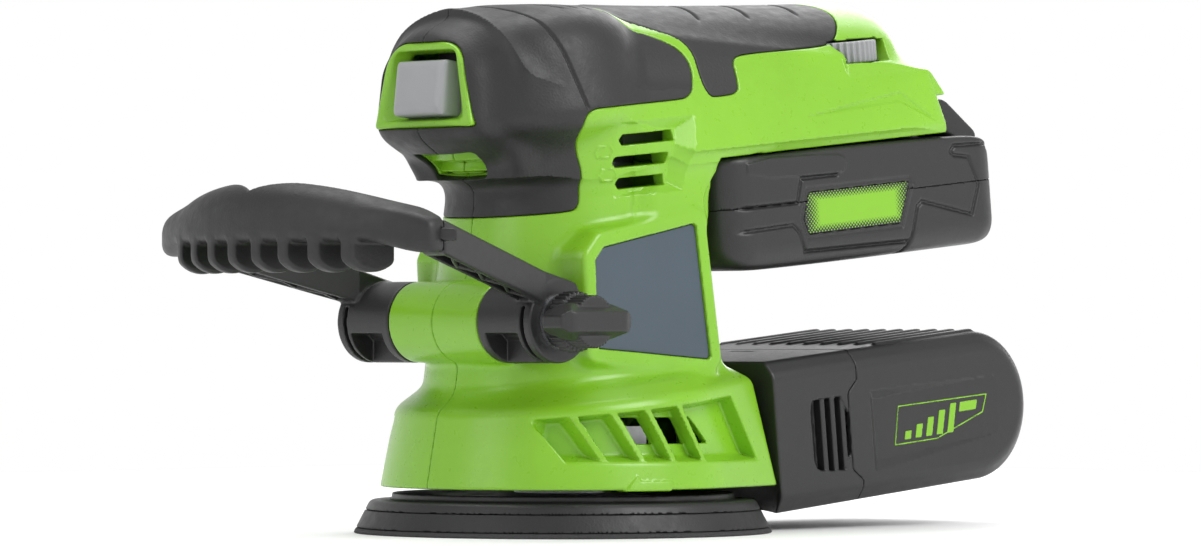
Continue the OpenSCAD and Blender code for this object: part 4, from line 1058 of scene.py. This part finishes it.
def dust_badge(x, y, z):
    p, a, q = folded(x, y, z)
    edge = BADGE(p, q)
    marks = [np.abs(edge + 0.5) - 0.22]
    for i in range(BADGE_BARS):
        slant = p - 112 - 4.6 * i - 0.25 * (q - 15)
        marks.append(meet(0.3, np.abs(slant) - 1.35, slab(q, 15.6, 18.2 + 1.6 * i)))
    marks.append(meet(0.3, slab(p - 0.25 * (q - 20), 134.5, 142), slab(q, 21.6, 24.6)))
    face = a - BOX_HALF + panel_depth(p, q)
    return meet(0.1, join(0, *marks), slab(face, -0.3, 0.14))


piece("dust_shell_case", dust_shell, 0.6, "dust_shell", "black_plastic", "dust_box_shell", 5)
piece("dust_cap_case", dust_cap, 0.6, "dust_cap", "black_plastic", "dust_box_cap", 3)
piece("dust_badges", dust_badge, 0.3, "dust_shell", "label_green", "dust_box_labels", 2)

# Battery -----------------------------------------------------------------------------

BATTERY_HALF = 38.5
SPLIT_Q = 92.0
BATTERY_SIDE = [(40, 79), (44, 74.6), (50, 72.3), (57, 71.9), (158.6, 71.6), (163.2, 73.8), (164, 84),
                (164, 97), (158.8, 104.1), (152.2, 106.6), (137.6, 107.4), (40, 107.4)]
UPPER_PAD = Stencil(smoothed([(50, 106.6), (88, 105.4), (92.8, 103.6), (91.2, 100), (87.5, 99.2),
                              (50, 100.8)], 1))
BATTERY_LINES = (
    [(88, 99), (72.8, 99), (70.5, 91.9), (44, 92.1)],
    [(44, 85), (68, 85.4), (70.6, 83), (72.6, 77), (117.9, 76.1)],
    [(115.5, 71.5), (118.4, 74.7), (122.6, 86.5), (124.6, 87.8), (146.6, 81.9), (150.6, 91), (146.8, 99.8),
     (140.3, 100.8), (138.8, 102), (140.6, 103.7), (155.3, 103.2), (157.8, 101.9), (161.2, 95.2),
     (161.1, 78)])
LABEL_RIM = Stencil([(74.8, 96), (119.9, 95.8), (121.3, 93.9), (115.4, 80.6), (74, 80.7), (71.6, 86.6)])
REAR_BLOCK = [(141.5, 104), (159, 104), (165.8, 101.4), (166, 106.3), (152.3, 117.9), (141.5, 117.9)]
LATCH = [(146.7, 111.7), (160.8, 111.7), (152.9, 118.1), (146.7, 118.1)]
BLADE_ROWS = (-10.5, -3.5, 3.5, 10.5)


def battery_form(p, a, q):
    corner = 12.0
    side, front = a - BATTERY_HALF + corner, 40 + corner - p
    past_both = np.hypot(np.maximum(side, 0), np.maximum(front, 0))
    plan = past_both + np.minimum(np.maximum(side, front), 0) - corner
    plan = meet(4, plan, 0.747 * (p - 156) + 0.664 * (a - BATTERY_HALF))
    low = meet(9, plan, 71.6 - q)
    return meet(2.2, low, convex(p, q, BATTERY_SIDE, 3.0))


def battery_outer(x, y, z):
    p, a, q = folded(x, y, z)
    form = battery_form(p, a, q)
    flank = (a > 30) * fade(p, 44, 50)
    lines = join(0, *[path(p, q, points) for points in BATTERY_LINES])
    form = form + flank * dent(lines, 0.9, 0.6)
    form = form - 0.45 * flank * fade(-UPPER_PAD(p, q), -0.4, 0.4)
    rim = LABEL_RIM(p, q)
    form = form + flank * dent(rim + 0.2, 0.45, 0.5) + 0.35 * flank * fade(-rim, 0.2, 1.4)
    rails = meet(0.8, slab(p, 41.5, 142), a - 22.1, slab(q, 100, 117.2))
    block = meet(1.6, convex(p, q, REAR_BLOCK, 1.6), a - 25)
    return join(0.8, form, rails, block)


def battery_case(x, y, z):
    p, a, q = folded(x, y, z)
    slots = [np.abs(y - row) - 1.0 for row in BLADE_ROWS]
    gone = join(0, battery_form(p, a, q) + 2.2,
                meet(0, slab(p, 50, 139), a - 19.1, slab(q, 100, 115.2)),
                meet(0.3, slab(p, 30, 47.6), a - 16, 109.4 - q),
                meet(0.2, slab(p, 45, 62), join(0, *slots), 110.6 - q),
                meet(0.4, 146 - p, a - 16.5, 109 - q),
                meet(0, slab(p, 144, 156), a - 12, slab(q, 100, 112)),
                meet(0.2, LABEL_RIM(p, q) + 1.3, 37.6 - a))
    return cut(battery_outer(x, y, z), gone, 0.4)


def battery_bottom(x, y, z):
    return np.maximum(battery_case(x, y, z), lean(x, z)[1] - SPLIT_Q)


def battery_top(x, y, z):
    return np.maximum(battery_case(x, y, z), SPLIT_Q + 0.01 - lean(x, z)[1])


def battery_label(x, y, z):
    p, q = lean(x, z)
    return meet(0.2, LABEL_RIM(p, q) + 1.4, slab(np.abs(y), 37.65, 38.05))


def battery_latch(x, y, z):
    p, a, q = folded(x, y, z)
    body = meet(1.0, convex(p, q, LATCH, 1.0), a - 16)
    slope = line(p, q, LATCH[1], LATCH[2])
    body = body + dent((p + q) % 3.2 - 1.6, 0.4, 0.5) * (slope > -1.5) * fade(-a, -13.5, -12.5)
    return join(0.3, body, meet(0.2, slab(p, 148, 152), a - 4, slab(q, 106, 112)))


piece("battery_bottom_case", battery_bottom, 0.6, "battery", "black_plastic", "battery_case_bottom")
piece("battery_top_case", battery_top, 0.6, "battery", "black_plastic", "battery_case_top")
piece("battery_label_film", battery_label, 0.4, "battery", "label_green", "battery_labels",
      look="battery_label")
piece("battery_release", battery_latch, 0.4, "battery_latch", "dark_plastic", "battery_latch")

# Front handle --------------------------------------------------------------------------

LOOP_X, GRIP_RHO, GRIP_WIDE = -25.0, 92.0, 8.0
KNUCKLE_R, KNUCKLE_IN, KNUCKLE_OUT = 12.0, 19.5, 42.3
ARM_PLAN = Stencil([(-34, 42.3), (-46, 42.3), (-62, 47), (-99.5, 57.9), (-99.5, 47.8), (-62, 38), (-50, 34.5),
                    (-34, 34.5)])
ARM_END = -99.0
FINS, FIN_PITCH = 8, 10.5


def arm_top(x, z):
    return 0.967 * (z - 77.2 + 0.2635 * (x + 46))


def arm_low(x, z):
    return 0.966 * (67.4 - 0.2673 * (x + 46) - z)


def grip_core(x, y, z):
    rho = np.hypot(x - LOOP_X, y)
    rise = -0.125 * (x + 98)
    bar = meet(0.5, slab(rho, 89, 95), slab(z - 1.2 * rise, 85.6, 88.4), np.abs(y) - 50, x + 98)
    tongue = meet(0.5, slab(rho, 88, 96), slab(z - rise, 85, 88.4), slab(x, -112, -98))
    return join(0.5, bar, tongue)


def handle_frame(x, y, z):
    a = np.abs(y)
    plan = ARM_PLAN(x, a)
    arm = meet(1.2, plan, arm_top(x, z), arm_low(x, z), ARM_END - x)
    middle = [(-46 - 6.5 * i, 38.9 + 1.72 * i + (1.9 if i % 2 else -1.9)) for i in range(8)]
    truss = path(x, a, middle) - 0.55
    well = meet(0.4, plan + 1.7, slab(x, -96.5, -51), arm_top(x, z) + 3.0)
    arm = cut(arm, cut(well, meet(0, truss, -arm_low(x, z) - 8), 0.2), 0.3)
    r = from_hinge(x, z)
    drum = meet(0.8, r - KNUCKLE_R, slab(a, KNUCKLE_IN, KNUCKLE_OUT))
    window = meet(0.5, slab(a, 22.6, 36.6), z - 59.3, x + 43, 5.8 - r)
    groove = meet(0.3, slab(a, 37.9, 39.5), 9.8 - r, z - 67)
    drum = cut(drum, join(0, window, groove), 0.3)
    return cut(join(1.0, join(0.4, arm, grip_core(x, y, z)), drum), r - 4.03, 0.2)


def handle_grip(x, y, z):
    a = np.abs(y)
    rho = np.hypot(x - LOOP_X, y)
    top = 102.6 - 10.8 * (a / 57) ** 2.2
    low = 84.9 - 3.2 * fade(a, 40, 56)
    wide = np.abs(rho - GRIP_RHO) - GRIP_WIDE
    roof = 0.95 * (z - top)
    square = fade(a, 36, 57)
    tube = meet(4, (1 - square) * meet(11, wide, roof) + square * meet(3, wide, roof), low - z)
    # the ends narrow to the width of the arms
    ends = meet(0, 0.96 * (a - 57.9 + 0.29 * (x + 99)), 0.41 * (47.8 + 2.2 * (x + 99) - a))
    tube = meet(2, tube, ends)
    fins = [np.abs(y - (i - (FINS - 1) / 2) * FIN_PITCH) - 1.9 for i in range(FINS)]
    fins = meet(1.2, join(0, *fins), np.hypot(rho - 91.5, z - 87) - 10.6, wide + 0.5, z - 87)
    body = meet(1.2, join(1.2, tube, fins), x + 99.15)
    return cut(body, grip_core(x, y, z) - 0.04)


def knob(x, y, z):
    dx, dz = x - HINGE[0], z - HINGE[1]
    t = -43.8 - y
    r = np.hypot(dx, dz)
    angle = np.arctan2(dz, dx)
    hub = meet(0.8, r - 6.6, slab(t, 0, 13))
    ring = meet(0.6, 0.85 * (r - 8.5 - 0.35 * np.cos(32 * angle)), slab(t, 1.5, 6.5))
    reach, rise, far = np.abs(dx), np.abs(dz), np.abs(t - 9.8)
    # six-sided both from the front and from the ends
    wing = meet(0.5, rise - 5.2, reach - 13.8, far - 6.1, 0.5 * reach + 0.866 * rise - 8.4,
                0.5 * far + 0.866 * rise - 5.4, 0.5 * reach + 0.866 * far - 10.4)
    barrel = meet(0.6, 0.85 * (r - 7.5 - 0.22 * np.cos(40 * angle)), slab(t, 3, 13.4))
    body = join(0.6, hub, ring, wing, barrel)
    return cut(body, join(0, meet(0, r - 5.62, t - 11), meet(0, r - 4.4, t - 13)), 0.2)


piece("handle_bow", handle_frame, 0.55, "handle", "black_plastic", "handle_frame", 4)
piece("grip_rubber", handle_grip, 0.6, "handle", "soft_rubber", "handle_grip")
piece("knob_body", knob, 0.33, "knob", "black_plastic", "clamp_knob")

# Carried-over parts and floor ------------------------------------------------

slots = {part["node"]: part["material_slot"] for part in frame["record"]["subparts"]}
for name, node in frame["nodes"].items():
    node.data.materials.clear()
    node.data.materials.append(looks[slots[name]])

FLOOR_HALF = 0.7
floor = mesh_object("floor", np.array([[-1, -1, 0], [1, -1, 0], [1, 1, 0], [-1, 1, 0]]) * FLOOR_HALF / MM,
                    np.array([[0, 1, 2, 3]]))
paper = Maker("floor", (0.95, 0.95, 0.95), 0.7)
floor.data.materials.append(paper.done(paper.mix(paper.ramp(paper.noise(3, 2), 0.3, 0.7), (0.94, 0.94, 0.94),
                                                 (0.96, 0.96, 0.96))))
